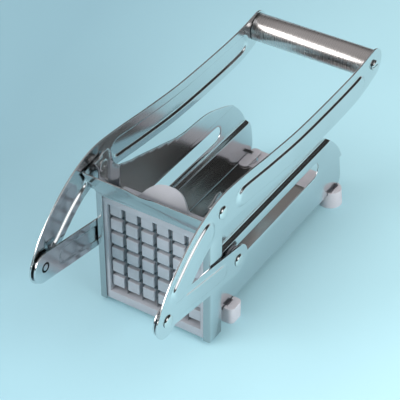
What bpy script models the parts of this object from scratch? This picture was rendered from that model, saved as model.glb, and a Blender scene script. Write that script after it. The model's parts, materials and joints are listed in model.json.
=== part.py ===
"""French fry cutter: a hand lever drives a block of fingers that pushes a potato through a grid of blades.

Sizes are in metres. Y is counted from the front face plane of the body and runs to the rear, X runs
to the right seen from the front, and Z is up from the surface that the feet stand on. The root empty
then moves the whole cutter so that its bounding box is centred on the world's Z axis.
"""

import math

import bmesh
import bpy
from mathutils import Matrix, Vector

# Clearances
FIT_GAP = 0.0003
SLIDE_GAP = 0.0004
RUNNING_GAP = 0.0007
OVERRUN = 0.0040
SEAM = 0.00005
WELD = 0.00001

# Sheet thicknesses
SHEET = 0.0008
LINK_SHEET = 0.0012
ARM_SHEET = 0.0012

# Body: two side plates and a floor plate
CHAMBER_WIDTH = 0.0734
BODY_LENGTH = 0.1867
SHOULDER_DROP = 0.0035
PLATE_BOTTOM_Z = 0.0107
BAND_DEPTH = 0.0030
BAND_BELOW_AXLE = 0.0109
BAND_ABOVE_AXLE = 0.0130
BAND_FLANK = 0.0025
FLARE_DEPTH = 0.0049
FLARE_LENGTH = 0.0040
FLARE_GAP = 0.0010
FLOOR_TOP_Z = 0.0111
FLOOR_REAR_SETBACK = 0.0192
TOP_EDGE_SHARES = (
    (0.085, 1.000),
    (0.156, 0.953),
    (0.217, 0.925),
    (0.350, 0.858),
    (0.483, 0.796),
    (0.652, 0.773),
    (0.770, 0.709),
    (0.844, 0.647),
    (0.899, 0.562),
    (0.937, 0.482),
    (0.967, 0.392),
    (0.986, 0.320),
    (1.000, 0.190),
)
REAR_CHAMFER = 0.0045

# Pivots of the lever, the links and the pusher
PIVOT_Y = 0.0069
PIVOT_RISE = 0.0163
CRANK_RUN = 0.0620
CRANK_DROP = 0.0415
HANDLE_REACH = 0.1996
HANDLE_DROP = 0.0035
AXLE_Y = 0.0315
AXLE_RISE = 0.0020
SLOT_REAR_MARGIN = 0.0475
SLOT_FRONT_SPARE = 0.0030

# Inner ears of the side plates, round the lever's pivot
EAR_RADIUS = 0.0105
EAR_SHARES = (
    (-0.49, -0.81),
    (-0.51, 0.05),
    (-0.84, 0.57),
    (-0.83, 0.67),
    (-0.40, 0.70),
    (-0.16, 0.82),
    (0.04, 0.97),
    (0.30, 1.00),
    (0.56, 0.93),
    (0.72, 0.70),
    (0.78, 0.10),
)

# Front frame
STRIP_WIDTH = 0.0052
FLANGE_DEPTH = 0.0130
FRAME_BOTTOM_Z = 0.0031
FRAME_HEADROOM = 0.0023
SILL_SETBACK = 0.0020
LIP_HEIGHT = 0.0190
LIP_LEAN = 0.0092
LIP_FOOT = 0.0020
LIP_NOTCH_DEPTH = 0.0030
LIP_NOTCH_CENTRE = -0.0025
LIP_NOTCH_WIDTH = 0.0240
OUTER_EAR_FRONT_RISE = 0.0022
OUTER_EAR_REAR_RISE = 0.0035
OUTER_EAR_REAR_Y = 0.0135

# Blade cartridge
CARTRIDGE_DEPTH = 0.0127
CARTRIDGE_BOTTOM_Z = 0.0042
CARTRIDGE_SILL = 0.0065
CARTRIDGE_HEAD = 0.0057
CARTRIDGE_CORNER = 0.0030
OPENING_MARGIN = 0.0011
TAB_THICKNESS = 0.0022
TAB_HEIGHT = 0.0144
TAB_CENTRE_X = 0.0015
TAB_LEAN_DEG = 35.0
TAB_HALF_BASE = 0.0240
TAB_SHARES = (
    (1.00, 0.00),
    (0.90, 0.03),
    (0.81, 0.13),
    (0.71, 0.36),
    (0.58, 0.63),
    (0.38, 0.87),
    (0.14, 0.98),
)

# Fingers, blades and the pusher
GRID_COUNT = 6
CHAMBER_CLEARANCE = 0.0007
COLUMN_SPACE = 0.0030
ROW_SPACE = 0.0032
FINGER_EDGE = 0.0004
FINGER_FRONT_Y = 0.0020
BLADE_THICKNESS = 0.0006
BLADE_FRONT_Y = 0.0065
BLADE_DEPTH = 0.0055
BLADE_SEAT = 0.0015
PUSHER_PLATE_Y = 0.0150
PUSHER_PLATE_DEPTH = 0.0035
PUSHER_SIDE_GAP = 0.0008
PUSHER_TOP_RISE = 0.0030
CARRIAGE_PLATE_DEPTH = 0.0030
CARRIAGE_SCREW_MARGIN = 0.0045
CARRIAGE_SIDE_SPACE = 0.0059
CARRIAGE_WEB = 0.0030
CARRIAGE_WEB_HALF_HEIGHT = 0.0100
BOSS_RADIUS = 0.0070
AXLE_RADIUS = 0.0040
BUSH_RADIUS = 0.0062
BUSH_FLANGE_RADIUS = 0.0080
BUSH_FLANGE = 0.0014
PUSHER_SCREW_RADIUS = 0.0015
PUSHER_SCREW_HEAD_RADIUS = 0.0030
PUSHER_SCREW_HEAD = 0.0018

# Lever arms, links and handle
ARM_HALF_WIDTH = 0.0135
ARM_END_HALF_WIDTH = 0.0120
ARM_TAPER_LENGTH = 0.0300
ARM_REAR_SHARES = ((0.852, 0.042), (0.512, 0.044), (0.291, 0.027), (0.121, 0.007))
ARM_FRONT_SHARES = ((0.256, 0.092), (0.466, 0.248), (0.676, 0.477), (0.853, 0.706))
ARM_EMBOSS = 0.0016
ARM_EMBOSS_FLANK = 0.0020
REAR_EMBOSS_HALF_WIDTH = 0.0078
REAR_EMBOSS_DROP = 0.0008
REAR_EMBOSS_HANDLE_MARGIN = 0.0220
REAR_EMBOSS_PIVOT_MARGIN = 0.0240
FRONT_EMBOSS_HALF_WIDTH = 0.0085
FRONT_EMBOSS_PIVOT_MARGIN = 0.0190
FRONT_EMBOSS_PIN_MARGIN = 0.0195
LINK_HALF_WIDTH = 0.0110
LINK_EMBOSS = 0.0008
LINK_EMBOSS_HALF_WIDTH = 0.0065
LINK_EMBOSS_FLANK = 0.0012
LINK_EMBOSS_MARGIN = 0.0210
RIVET_RADIUS = 0.0030
RIVET_HEAD_RADIUS = 0.0044
RIVET_HEAD = 0.0014
RIVET_TAIL_BORE = 0.0020
COUNTERSINK = 0.0007
HANDLE_RADIUS = 0.01025
HANDLE_WALL = 0.0012
PLUG_LENGTH = 0.0160
HANDLE_SCREW_RADIUS = 0.0020
HANDLE_SCREW_HEAD_RADIUS = 0.0038
HANDLE_SCREW_HEAD = 0.0016
HANDLE_SCREW_SLOT = 0.0010

# Feet and rear bridge
FOOT_TOP_Z = 0.0125
FOOT_SLIT = 0.0016
FOOT_SLIT_DEPTH = 0.0040
FOOT_SLIT_END = 0.0030
FRONT_FOOT_Y = 0.03135
FRONT_FOOT_LENGTH = 0.0133
FRONT_FOOT_WIDTH = 0.0150
FRONT_FOOT_OVERHANG = 0.0075
FRONT_FOOT_CORNER = 0.0035
REAR_FOOT_SETBACK = 0.0107
REAR_FOOT_INSET = 0.0007
REAR_FOOT_RADIUS = 0.0090
REAR_FOOT_TAPER = 0.0012
TONGUE_REACH_FRONT = 0.0120
TONGUE_REACH_REAR = 0.0120
TONGUE_WIDTH = 0.0080
NECK_SHARE = 0.4
BRIDGE_LENGTH = 0.0218
BRIDGE_THICKNESS = 0.0024
BRIDGE_LEDGE = 0.0060
FOOT_TAB_LENGTH = 0.0035
FOOT_TAB_REACH = 0.0040

# Sizes and places that follow
PITCH = (CHAMBER_WIDTH - 2 * CHAMBER_CLEARANCE) / GRID_COUNT
FINGER_WIDTH = PITCH - COLUMN_SPACE
FINGER_HEIGHT = PITCH - ROW_SPACE
GRID_REACH = PITCH * (GRID_COUNT - 1) / 2
OPENING_HALF_WIDTH = GRID_REACH + FINGER_WIDTH / 2 + OPENING_MARGIN
OPENING_LOW_Z = CARTRIDGE_BOTTOM_Z + CARTRIDGE_SILL
GRID_CENTRE_Z = OPENING_LOW_Z - OPENING_MARGIN + PITCH / 2 + FINGER_HEIGHT / 2 + GRID_REACH
OPENING_HIGH_Z = GRID_CENTRE_Z + GRID_REACH + FINGER_HEIGHT / 2 + FIT_GAP + FIT_GAP
CARTRIDGE_TOP_Z = OPENING_HIGH_Z + CARTRIDGE_HEAD
FRAME_TOP_Z = CARTRIDGE_TOP_Z + FRAME_HEADROOM
PIVOT_Z = FRAME_TOP_Z + PIVOT_RISE
SHOULDER_Z = PIVOT_Z - SHOULDER_DROP
AXLE_Z = GRID_CENTRE_Z + AXLE_RISE
BAND_LOW_Z = AXLE_Z - BAND_BELOW_AXLE
BAND_HIGH_Z = AXLE_Z + BAND_ABOVE_AXLE
PUSHER_TOP_Z = OPENING_HIGH_Z + PUSHER_TOP_RISE
PUSHER_SCREW_REACH = PITCH * 1.5
CARRIAGE_HALF_HEIGHT = PUSHER_SCREW_REACH + CARRIAGE_SCREW_MARGIN
PLATE_INNER_X = CHAMBER_WIDTH / 2
PLATE_OUTER_X = PLATE_INNER_X + SHEET
BAND_OUTER_X = PLATE_OUTER_X + BAND_DEPTH
BAND_INNER_X = BAND_OUTER_X - SHEET
EAR_OUTER_X = PLATE_OUTER_X + FLARE_DEPTH
EAR_INNER_X = EAR_OUTER_X - SHEET
FLANGE_INNER_X = EAR_OUTER_X + FIT_GAP
FLANGE_OUTER_X = FLANGE_INNER_X + SHEET
STRIP_INNER_X = FLANGE_OUTER_X - STRIP_WIDTH
LINK_INNER_X = FLANGE_OUTER_X + FIT_GAP
LINK_OUTER_X = LINK_INNER_X + LINK_SHEET
ARM_INNER_X = LINK_OUTER_X + LINK_EMBOSS + RUNNING_GAP
ARM_OUTER_X = ARM_INNER_X + ARM_SHEET
OUTER_EAR_OUTER_X = ARM_INNER_X - RUNNING_GAP
OUTER_EAR_INNER_X = OUTER_EAR_OUTER_X - SHEET
PIN_Y = PIVOT_Y - CRANK_RUN
PIN_Z = PIVOT_Z - CRANK_DROP
HANDLE_Y = PIVOT_Y + HANDLE_REACH
HANDLE_Z = PIVOT_Z - HANDLE_DROP
PUSHER_TRAVEL = BODY_LENGTH - SLOT_REAR_MARGIN - AXLE_Y
SLOT_HALF_HEIGHT = BUSH_RADIUS + FIT_GAP
CARTRIDGE_HALF_WIDTH = EAR_INNER_X - SLIDE_GAP
CARTRIDGE_FRONT_Y = FIT_GAP
FLARE_FRONT_Y = CARTRIDGE_DEPTH + FLARE_GAP
FLARE_REAR_Y = FLARE_FRONT_Y + FLARE_LENGTH
PUSHER_HALF_WIDTH = PLATE_INNER_X - PUSHER_SIDE_GAP
CARRIAGE_HALF_WIDTH = PUSHER_HALF_WIDTH - CARRIAGE_SIDE_SPACE
CARRIAGE_Y = PUSHER_PLATE_Y + PUSHER_PLATE_DEPTH + FIT_GAP
RIVET_HOLE_RADIUS = RIVET_RADIUS + FIT_GAP
FLOOR_REAR_Y = BODY_LENGTH - FLOOR_REAR_SETBACK
FRONT_FOOT_OUTER_X = PLATE_OUTER_X + FRONT_FOOT_OVERHANG
REAR_FOOT_Y = BODY_LENGTH - REAR_FOOT_SETBACK
REAR_FOOT_X = PLATE_INNER_X - REAR_FOOT_INSET
ROUND_STEPS = 24
TUBE_STEPS = 40

FINISHES = {
    "polished_steel": ((0.74, 0.78, 0.80), 0.16, 1.0),
    "blade_steel": ((0.62, 0.65, 0.68), 0.22, 1.0),
    "rivet_steel": ((0.70, 0.70, 0.70), 0.20, 1.0),
    "gray_plastic": ((0.40, 0.43, 0.48), 0.42, 0.0),
    "pale_plastic": ((0.55, 0.52, 0.55), 0.48, 0.0),
}


def clear_scene():
    for existing in list(bpy.data.objects):
        bpy.data.objects.remove(existing, do_unlink=True)


def new_collection(name):
    collection = bpy.data.collections.new(name)
    bpy.context.scene.collection.children.link(collection)
    return collection


clear_scene()
PARTS = new_collection("french_fry_cutter")
CUTTERS = new_collection("french_fry_cutter_cutters")


# Outlines are lists of points in the plane of a sheet

def smooth(points, steps):
    """Points along a smooth curve that passes through every given point."""
    result = []
    last = len(points) - 1
    for i in range(last):
        before = points[max(i - 1, 0)]
        start = points[i]
        end = points[i + 1]
        after = points[min(i + 2, last)]
        for step in range(steps):
            t = step / steps
            result.append(tuple(
                0.5 * (2 * b + (c - a) * t + (2 * a - 5 * b + 4 * c - d) * t ** 2 + (3 * b - a - 3 * c + d) * t ** 3)
                for a, b, c, d in zip(before, start, end, after)))
    result.append(tuple(points[-1]))
    return result


def circle(centre, radius, steps):
    return [
        (centre[0] + radius * math.cos(math.tau * i / steps), centre[1] + radius * math.sin(math.tau * i / steps))
        for i in range(steps)]


def rectangle(low, high):
    return [(low[0], low[1]), (high[0], low[1]), (high[0], high[1]), (low[0], high[1])]


def rounded_rectangle(low, high, radius, steps):
    """A rectangle whose four corners are arcs."""
    corners = (
        (high[0] - radius, high[1] - radius, 0.0),
        (low[0] + radius, high[1] - radius, 0.25),
        (low[0] + radius, low[1] + radius, 0.5),
        (high[0] - radius, low[1] + radius, 0.75))
    outline = []
    for centre_u, centre_v, first_turn in corners:
        for i in range(steps + 1):
            angle = math.tau * (first_turn + 0.25 * i / steps)
            outline.append((centre_u + radius * math.cos(angle), centre_v + radius * math.sin(angle)))
    return outline


def path_lengths(path):
    lengths = [0.0]
    for a, b in zip(path, path[1:]):
        lengths.append(lengths[-1] + math.dist(a, b))
    return lengths


def stretch(path, start, end, steps):
    """Evenly spaced points of a path between two distances from its first point."""
    lengths = path_lengths(path)
    points = []
    for i in range(steps + 1):
        wanted = start + (end - start) * i / steps
        k = max(j for j in range(len(path) - 1) if lengths[j] <= wanted)
        t = (wanted - lengths[k]) / (lengths[k + 1] - lengths[k])
        points.append(tuple(a + (b - a) * t for a, b in zip(path[k], path[k + 1])))
    return points


def path_normals(path):
    """Unit normals on the left of a path, one for each point."""
    normals = []
    for i in range(len(path)):
        before = path[max(i - 1, 0)]
        after = path[min(i + 1, len(path) - 1)]
        length = math.dist(before, after)
        normals.append((-(after[1] - before[1]) / length, (after[0] - before[0]) / length))
    return normals


def ribbon(path, half_widths, cap_steps):
    """The closed outline of a strip round a path, with half-round ends."""
    normals = path_normals(path)
    left = [(p[0] + n[0] * w, p[1] + n[1] * w) for p, n, w in zip(path, normals, half_widths)]
    right = [(p[0] - n[0] * w, p[1] - n[1] * w) for p, n, w in zip(path, normals, half_widths)]

    def cap(centre, normal, half_width):
        first = math.atan2(normal[1], normal[0])
        return [
            (centre[0] + half_width * math.cos(first - math.pi * i / cap_steps),
             centre[1] + half_width * math.sin(first - math.pi * i / cap_steps))
            for i in range(1, cap_steps)]

    end_cap = cap(path[-1], normals[-1], half_widths[-1])
    start_cap = cap(path[0], (-normals[0][0], -normals[0][1]), half_widths[0])
    return left + end_cap + right[::-1] + start_cap


# Solids

def link_object(name, data, collection=PARTS):
    made = bpy.data.objects.new(name, data)
    collection.objects.link(made)
    return made


def evaluated_mesh(source):
    bpy.context.view_layer.update()
    depsgraph = bpy.context.evaluated_depsgraph_get()
    return bpy.data.meshes.new_from_object(source.evaluated_get(depsgraph))


def weld_and_face_outward(mesh):
    body = bmesh.new()
    body.from_mesh(mesh)
    bmesh.ops.remove_doubles(body, verts=body.verts, dist=WELD)
    bmesh.ops.recalc_face_normals(body, faces=body.faces)
    body.to_mesh(mesh)
    body.free()


def slab(name, outlines, axis, low, high):
    """A flat sheet square to an axis. The first outline is its edge, and the others are holes.

    Outlines are in Y and Z for a sheet square to X, in X and Z for one square to Y, and in X and Y
    for one square to Z.
    """
    curve = bpy.data.curves.new(name, "CURVE")
    curve.dimensions = "2D"
    curve.fill_mode = "BOTH"
    curve.extrude = (high - low) / 2
    for outline in outlines:
        spline = curve.splines.new("POLY")
        spline.points.add(len(outline) - 1)
        for point, (u, v) in zip(spline.points, outline):
            point.co = (u, v, 0, 1)
        spline.use_cyclic_u = True
    drawn = link_object(name + "_outline", curve)
    middle = (low + high) / 2
    turns = {
        "X": Matrix(((0, 0, 1, middle), (1, 0, 0, 0), (0, 1, 0, 0), (0, 0, 0, 1))),
        "Y": Matrix(((1, 0, 0, 0), (0, 0, -1, middle), (0, 1, 0, 0), (0, 0, 0, 1))),
        "Z": Matrix(((1, 0, 0, 0), (0, 1, 0, 0), (0, 0, 1, middle), (0, 0, 0, 1)))}
    mesh = evaluated_mesh(drawn)
    weld_and_face_outward(mesh)
    solid = link_object(name, mesh)
    solid.matrix_world = turns[axis]
    bpy.data.objects.remove(drawn)
    return solid


def box(name, low, high):
    mesh = bpy.data.meshes.new(name)
    body = bmesh.new()
    size = [h - l for l, h in zip(low, high)]
    centre = [(h + l) / 2 for l, h in zip(low, high)]
    bmesh.ops.create_cube(body, size=1, matrix=Matrix.Translation(centre) @ Matrix.Diagonal((*size, 1)))
    body.to_mesh(mesh)
    body.free()
    return link_object(name, mesh)


def loft(name, rings):
    """A closed solid through rings of equally many points, with flat ends."""
    mesh = bpy.data.meshes.new(name)
    body = bmesh.new()
    layers = [[body.verts.new(point) for point in ring] for ring in rings]
    for lower, upper in zip(layers, layers[1:]):
        for i in range(len(lower)):
            j = (i + 1) % len(lower)
            body.faces.new((lower[i], lower[j], upper[j], upper[i]))
    body.faces.new(reversed(layers[0]))
    body.faces.new(layers[-1])
    bmesh.ops.recalc_face_normals(body, faces=body.faces)
    body.to_mesh(mesh)
    body.free()
    return link_object(name, mesh)


def turned(name, profile, place, steps):
    """A solid of revolution round a line along X. The profile holds (radius, x) points, and its
    outer side runs from the larger x to the smaller one."""
    mesh = bpy.data.meshes.new(name)
    body = bmesh.new()
    points = [body.verts.new((radius, 0, along)) for radius, along in profile]
    for a, b in zip(points, points[1:]):
        body.edges.new((a, b))
    if profile[0][0] > 0:
        body.edges.new((points[-1], points[0]))
    body.to_mesh(mesh)
    body.free()
    drawn = link_object(name + "_profile", mesh)
    screw = drawn.modifiers.new("turn", "SCREW")
    screw.steps = steps
    screw.render_steps = steps
    screw.use_merge_vertices = True
    screw.merge_threshold = WELD
    turned_mesh = evaluated_mesh(drawn)
    weld_and_face_outward(turned_mesh)
    bpy.data.objects.remove(drawn)
    solid = link_object(name, turned_mesh)
    solid.rotation_euler = (0, math.pi / 2, 0)
    solid.location = (0, place[0], place[1])
    return solid


def combine(target, other, operation):
    """Joins or cuts with another solid, which is kept as a hidden guide."""
    for collection in list(other.users_collection):
        collection.objects.unlink(other)
    CUTTERS.objects.link(other)
    other.hide_render = True
    other.display_type = "WIRE"
    modifier = target.modifiers.new(operation.lower(), "BOOLEAN")
    modifier.operation = operation
    modifier.solver = "EXACT"
    modifier.object = other
    return target


def cut(target, *cutters):
    for cutter in cutters:
        combine(target, cutter, "DIFFERENCE")
    return target


def join(target, *others):
    for other in others:
        combine(target, other, "UNION")
    return target


def smooth_shading(solid, angle_deg=35.0):
    mesh = solid.data
    mesh.shade_smooth()
    mesh.set_sharp_from_angle(angle=math.radians(angle_deg))


def finished(solid, name, finish):
    """Applies the modelling steps, names the piece and gives it its own material."""
    mesh = evaluated_mesh(solid)
    weld_and_face_outward(mesh)
    mesh.name = name
    piece = link_object(name + "_piece", mesh)
    piece.matrix_world = solid.matrix_world
    if solid.name in PARTS.objects:
        bpy.data.objects.remove(solid)
    piece.name = name
    colour, roughness, metallic = FINISHES[finish]
    material = bpy.data.materials.new(name + "_" + finish)
    material.use_nodes = True
    shader = material.node_tree.nodes["Principled BSDF"]
    shader.inputs["Base Color"].default_value = (*colour, 1)
    shader.inputs["Roughness"].default_value = roughness
    shader.inputs["Metallic"].default_value = metallic
    mesh.materials.clear()
    mesh.materials.append(material)
    smooth_shading(piece)
    return piece


def mirrored(piece, name):
    """The same piece on the other side of the middle plane."""
    mesh = piece.data.copy()
    mesh.name = name
    mesh.transform(piece.matrix_world)
    mesh.transform(Matrix.Scale(-1, 4, Vector((1, 0, 0))))
    mesh.flip_normals()
    twin = link_object(name, mesh)
    material = piece.data.materials[0].copy()
    material.name = piece.data.materials[0].name.replace("right", "left")
    mesh.materials.clear()
    mesh.materials.append(material)
    return twin


def both_sides(solid, name, finish):
    right = finished(solid, name + "_right", finish)
    return [right, mirrored(right, name + "_left")]


# Body

def side_outline():
    """The edge of a side plate, from its front bottom corner round over the ear to the rear."""
    ear = [(PIVOT_Y + u * EAR_RADIUS, PIVOT_Z + v * EAR_RADIUS) for u, v in EAR_SHARES]
    top = smooth([(u * BODY_LENGTH, v * SHOULDER_Z) for u, v in TOP_EDGE_SHARES], 3)
    return [
        (CARTRIDGE_FRONT_Y, PLATE_BOTTOM_Z),
        (CARTRIDGE_FRONT_Y, FRAME_TOP_Z),
        *ear,
        *top,
        (BODY_LENGTH, PLATE_BOTTOM_Z + REAR_CHAMFER),
        (BODY_LENGTH - REAR_CHAMFER * 0.6, PLATE_BOTTOM_Z)]


def pressed_side_surface():
    """The outer face of a side plate: flat in front, a joggle, then a long band pressed outward."""
    levels = (
        PLATE_BOTTOM_Z - OVERRUN,
        BAND_LOW_Z - BAND_FLANK,
        BAND_LOW_Z,
        BAND_HIGH_Z,
        BAND_HIGH_Z + BAND_FLANK,
        PIVOT_Z + EAR_RADIUS + OVERRUN)
    banded = (PLATE_OUTER_X, PLATE_OUTER_X, BAND_OUTER_X, BAND_OUTER_X, PLATE_OUTER_X, PLATE_OUTER_X)
    flat = [EAR_OUTER_X] * len(levels)
    stations = (
        (PIVOT_Y - EAR_RADIUS - OVERRUN, flat),
        (FLARE_FRONT_Y, flat),
        (FLARE_REAR_Y, banded),
        (BODY_LENGTH + OVERRUN, banded))
    mesh = bpy.data.meshes.new("side_surface")
    body = bmesh.new()
    grid = [[body.verts.new((x, y, z)) for x, z in zip(depths, levels)] for y, depths in stations]
    for near, far in zip(grid, grid[1:]):
        for i in range(len(levels) - 1):
            body.faces.new((near[i], far[i], far[i + 1], near[i + 1]))
    body.to_mesh(mesh)
    body.free()
    surface = link_object("side_surface", mesh)
    thickness = surface.modifiers.new("sheet", "SOLIDIFY")
    thickness.thickness = SHEET
    thickness.offset = -1
    thickness.use_even_offset = True
    return surface


def slot_outline():
    front = (AXLE_Y - SLOT_FRONT_SPARE, AXLE_Z)
    rear = (AXLE_Y + PUSHER_TRAVEL, AXLE_Z)
    return ribbon([front, rear], [SLOT_HALF_HEIGHT, SLOT_HALF_HEIGHT], ROUND_STEPS // 2)


def foot_tab():
    """A small tab bent inward from the rear of a side plate, over the tongue of the rear foot."""
    rear = BODY_LENGTH - REAR_CHAMFER
    low = FOOT_TOP_Z + FIT_GAP
    inner = PLATE_INNER_X - FOOT_TAB_REACH
    return box(
        "foot_tab",
        (inner, rear - FOOT_TAB_LENGTH, low),
        (PLATE_INNER_X + SHEET / 2, rear, low + SHEET))


def side_plates():
    plate = pressed_side_surface()
    inside = PLATE_INNER_X - OVERRUN
    outside = EAR_OUTER_X + OVERRUN
    combine(plate, slab("side_edge", [side_outline()], "X", inside, outside), "INTERSECT")
    cut(
        plate,
        slab("side_slot", [slot_outline()], "X", inside, outside),
        slab("ear_hole", [circle((PIVOT_Y, PIVOT_Z), RIVET_HOLE_RADIUS, ROUND_STEPS)], "X", inside, outside))
    join(plate, foot_tab())
    return both_sides(plate, "side_plate", "polished_steel")


def floor_plate():
    half = PLATE_INNER_X - FIT_GAP
    plate = box(
        "floor",
        (-half, CARTRIDGE_DEPTH + FLARE_GAP, FLOOR_TOP_Z - SHEET),
        (half, FLOOR_REAR_Y, FLOOR_TOP_Z))
    return [finished(plate, "floor_plate", "polished_steel")]


def lip_points():
    """The fold line and the top of the leaning lip, in Y and Z, on the front face of the sheet."""
    fold = (-SHEET, FRAME_TOP_Z)
    top = (-SHEET - LIP_LEAN, FRAME_TOP_Z + LIP_HEIGHT)
    return fold, top


def front_frame():
    """Strips with side flanges, a sill under the cartridge, the leaning lip and the outer ears."""
    corner = [
        (STRIP_INNER_X, -SHEET),
        (FLANGE_OUTER_X, -SHEET),
        (FLANGE_OUTER_X, FLANGE_DEPTH),
        (FLANGE_INNER_X, FLANGE_DEPTH),
        (FLANGE_INNER_X, 0),
        (STRIP_INNER_X, 0)]
    frame = slab("strip_right", [corner], "Z", FRAME_BOTTOM_Z, FRAME_TOP_Z)
    other_corner = [(-x, y) for x, y in reversed(corner)]
    strip_left = slab("strip_left", [other_corner], "Z", FRAME_BOTTOM_Z, FRAME_TOP_Z)
    sill_reach = FLANGE_OUTER_X - SHEET / 2
    sill = box(
        "sill",
        (-sill_reach, SILL_SETBACK, FRAME_BOTTOM_Z + SEAM),
        (sill_reach, FLANGE_DEPTH - SEAM, FRAME_BOTTOM_Z + SHEET))
    fold, top = lip_points()
    run = math.dist(fold, top)
    across = ((top[1] - fold[1]) / run * SHEET, (fold[0] - top[0]) / run * SHEET)
    lip_outline = [
        (fold[0] + SEAM, CARTRIDGE_TOP_Z + FIT_GAP),
        (fold[0] + SEAM, fold[1]),
        top,
        (top[0] + across[0], top[1] + across[1]),
        (-SEAM, FRAME_TOP_Z + across[1]),
        (-SEAM, CARTRIDGE_TOP_Z + FIT_GAP)]
    lip = slab("lip", [lip_outline], "X", -OUTER_EAR_OUTER_X, OUTER_EAR_OUTER_X)
    ear_outline = [
        (fold[0] - LIP_LEAN * LIP_FOOT / LIP_HEIGHT + across[0] / 2, FRAME_TOP_Z + LIP_FOOT + SEAM),
        (FLANGE_DEPTH, FRAME_TOP_Z + LIP_FOOT + SEAM),
        (OUTER_EAR_REAR_Y, FRAME_TOP_Z + LIP_HEIGHT),
        (OUTER_EAR_REAR_Y - SHEET, FRAME_TOP_Z + LIP_HEIGHT + OUTER_EAR_REAR_RISE),
        (PIVOT_Y, FRAME_TOP_Z + LIP_HEIGHT + OUTER_EAR_FRONT_RISE),
        (top[0] + across[0] / 2, top[1] - SEAM)]
    hole = circle((PIVOT_Y, PIVOT_Z), RIVET_HOLE_RADIUS, ROUND_STEPS)
    ear_reach = OUTER_EAR_OUTER_X - SEAM
    ears = [
        slab("outer_ear_right", [ear_outline, hole], "X", OUTER_EAR_INNER_X, ear_reach),
        slab("outer_ear_left", [ear_outline, hole], "X", -ear_reach, -OUTER_EAR_INNER_X)]
    foot_inner = FLANGE_OUTER_X - SEAM
    foot_outer = OUTER_EAR_OUTER_X + OVERRUN
    foot_cuts = [
        box(
            "lip_foot",
            (min(side * foot_inner, side * foot_outer), -OVERRUN, FRAME_BOTTOM_Z),
            (max(side * foot_inner, side * foot_outer), OVERRUN / 4, FRAME_TOP_Z + LIP_FOOT))
        for side in (-1, 1)]
    notch_half = LIP_NOTCH_WIDTH / 2
    notch_points = [(LIP_NOTCH_CENTRE - notch_half, top[1] + OVERRUN)]
    for i in range(ROUND_STEPS // 2 + 1):
        share = i / (ROUND_STEPS // 2)
        depth = LIP_NOTCH_DEPTH * math.sin(math.pi * share)
        notch_points.append((LIP_NOTCH_CENTRE - notch_half + LIP_NOTCH_WIDTH * share, top[1] + SHEET - depth))
    notch_points.append((LIP_NOTCH_CENTRE + notch_half, top[1] + OVERRUN))
    notch = slab("lip_notch", [notch_points], "Y", top[0] - OVERRUN, top[0] + OVERRUN)
    cut(lip, *foot_cuts, notch)
    join(frame, strip_left, sill, lip, *ears)
    return [finished(frame, "front_frame", "polished_steel")]


# Blade cartridge

def blade_line_places():
    """Distances of the blades from the middle of the grid."""
    return [PITCH * (i - (GRID_COUNT - 2) / 2) for i in range(GRID_COUNT - 1)]


def blade_slots(clearance):
    """Grooves in the cartridge, or with no clearance the blades' own blanks, as boxes."""
    rear = BLADE_FRONT_Y + BLADE_DEPTH
    front = BLADE_FRONT_Y - clearance
    back = CARTRIDGE_DEPTH + OVERRUN if clearance else rear
    half = BLADE_THICKNESS / 2 + clearance
    reach_x = OPENING_HALF_WIDTH + BLADE_SEAT + clearance
    low_z = OPENING_LOW_Z - BLADE_SEAT - clearance
    high_z = OPENING_HIGH_Z + BLADE_SEAT + clearance
    upright = [
        box("upright_%d" % i, (x - half, front, low_z), (x + half, back, high_z))
        for i, x in enumerate(blade_line_places())]
    level = [
        box("level_%d" % i, (-reach_x, front, GRID_CENTRE_Z + z - half), (reach_x, back, GRID_CENTRE_Z + z + half))
        for i, z in enumerate(blade_line_places())]
    return upright, level


def thumb_tab():
    """A rounded tab that leans back from the top of the cartridge, with concave sides at its root."""
    half = [(TAB_HALF_BASE * u, TAB_HEIGHT * v) for u, v in TAB_SHARES]
    curve = smooth(half, 3)
    outline = [(TAB_CENTRE_X - x, z) for x, z in curve] + [(TAB_CENTRE_X + x, z) for x, z in reversed(curve)]
    root = [(TAB_CENTRE_X + TAB_HALF_BASE, -TAB_THICKNESS), (TAB_CENTRE_X - TAB_HALF_BASE, -TAB_THICKNESS)]
    tab = slab("thumb_tab", [outline + root], "Y", 0, TAB_THICKNESS)
    lean = Matrix.Rotation(-math.radians(TAB_LEAN_DEG), 4, "X")
    place = Matrix.Translation((0, CARTRIDGE_DEPTH - TAB_THICKNESS, CARTRIDGE_TOP_Z))
    tab.data.transform(place @ lean @ tab.matrix_world)
    tab.matrix_world = Matrix.Identity(4)
    return tab


def blade_frame():
    edge = rounded_rectangle(
        (-CARTRIDGE_HALF_WIDTH, CARTRIDGE_BOTTOM_Z),
        (CARTRIDGE_HALF_WIDTH, CARTRIDGE_TOP_Z),
        CARTRIDGE_CORNER, 4)
    opening = rectangle((-OPENING_HALF_WIDTH, OPENING_LOW_Z), (OPENING_HALF_WIDTH, OPENING_HIGH_Z))
    frame = slab("cartridge", [edge, opening], "Y", CARTRIDGE_FRONT_Y, CARTRIDGE_DEPTH)
    upright, level = blade_slots(FIT_GAP)
    cut(frame, *upright, *level)
    join(frame, thumb_tab())
    return [finished(frame, "blade_frame", "gray_plastic")]


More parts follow.
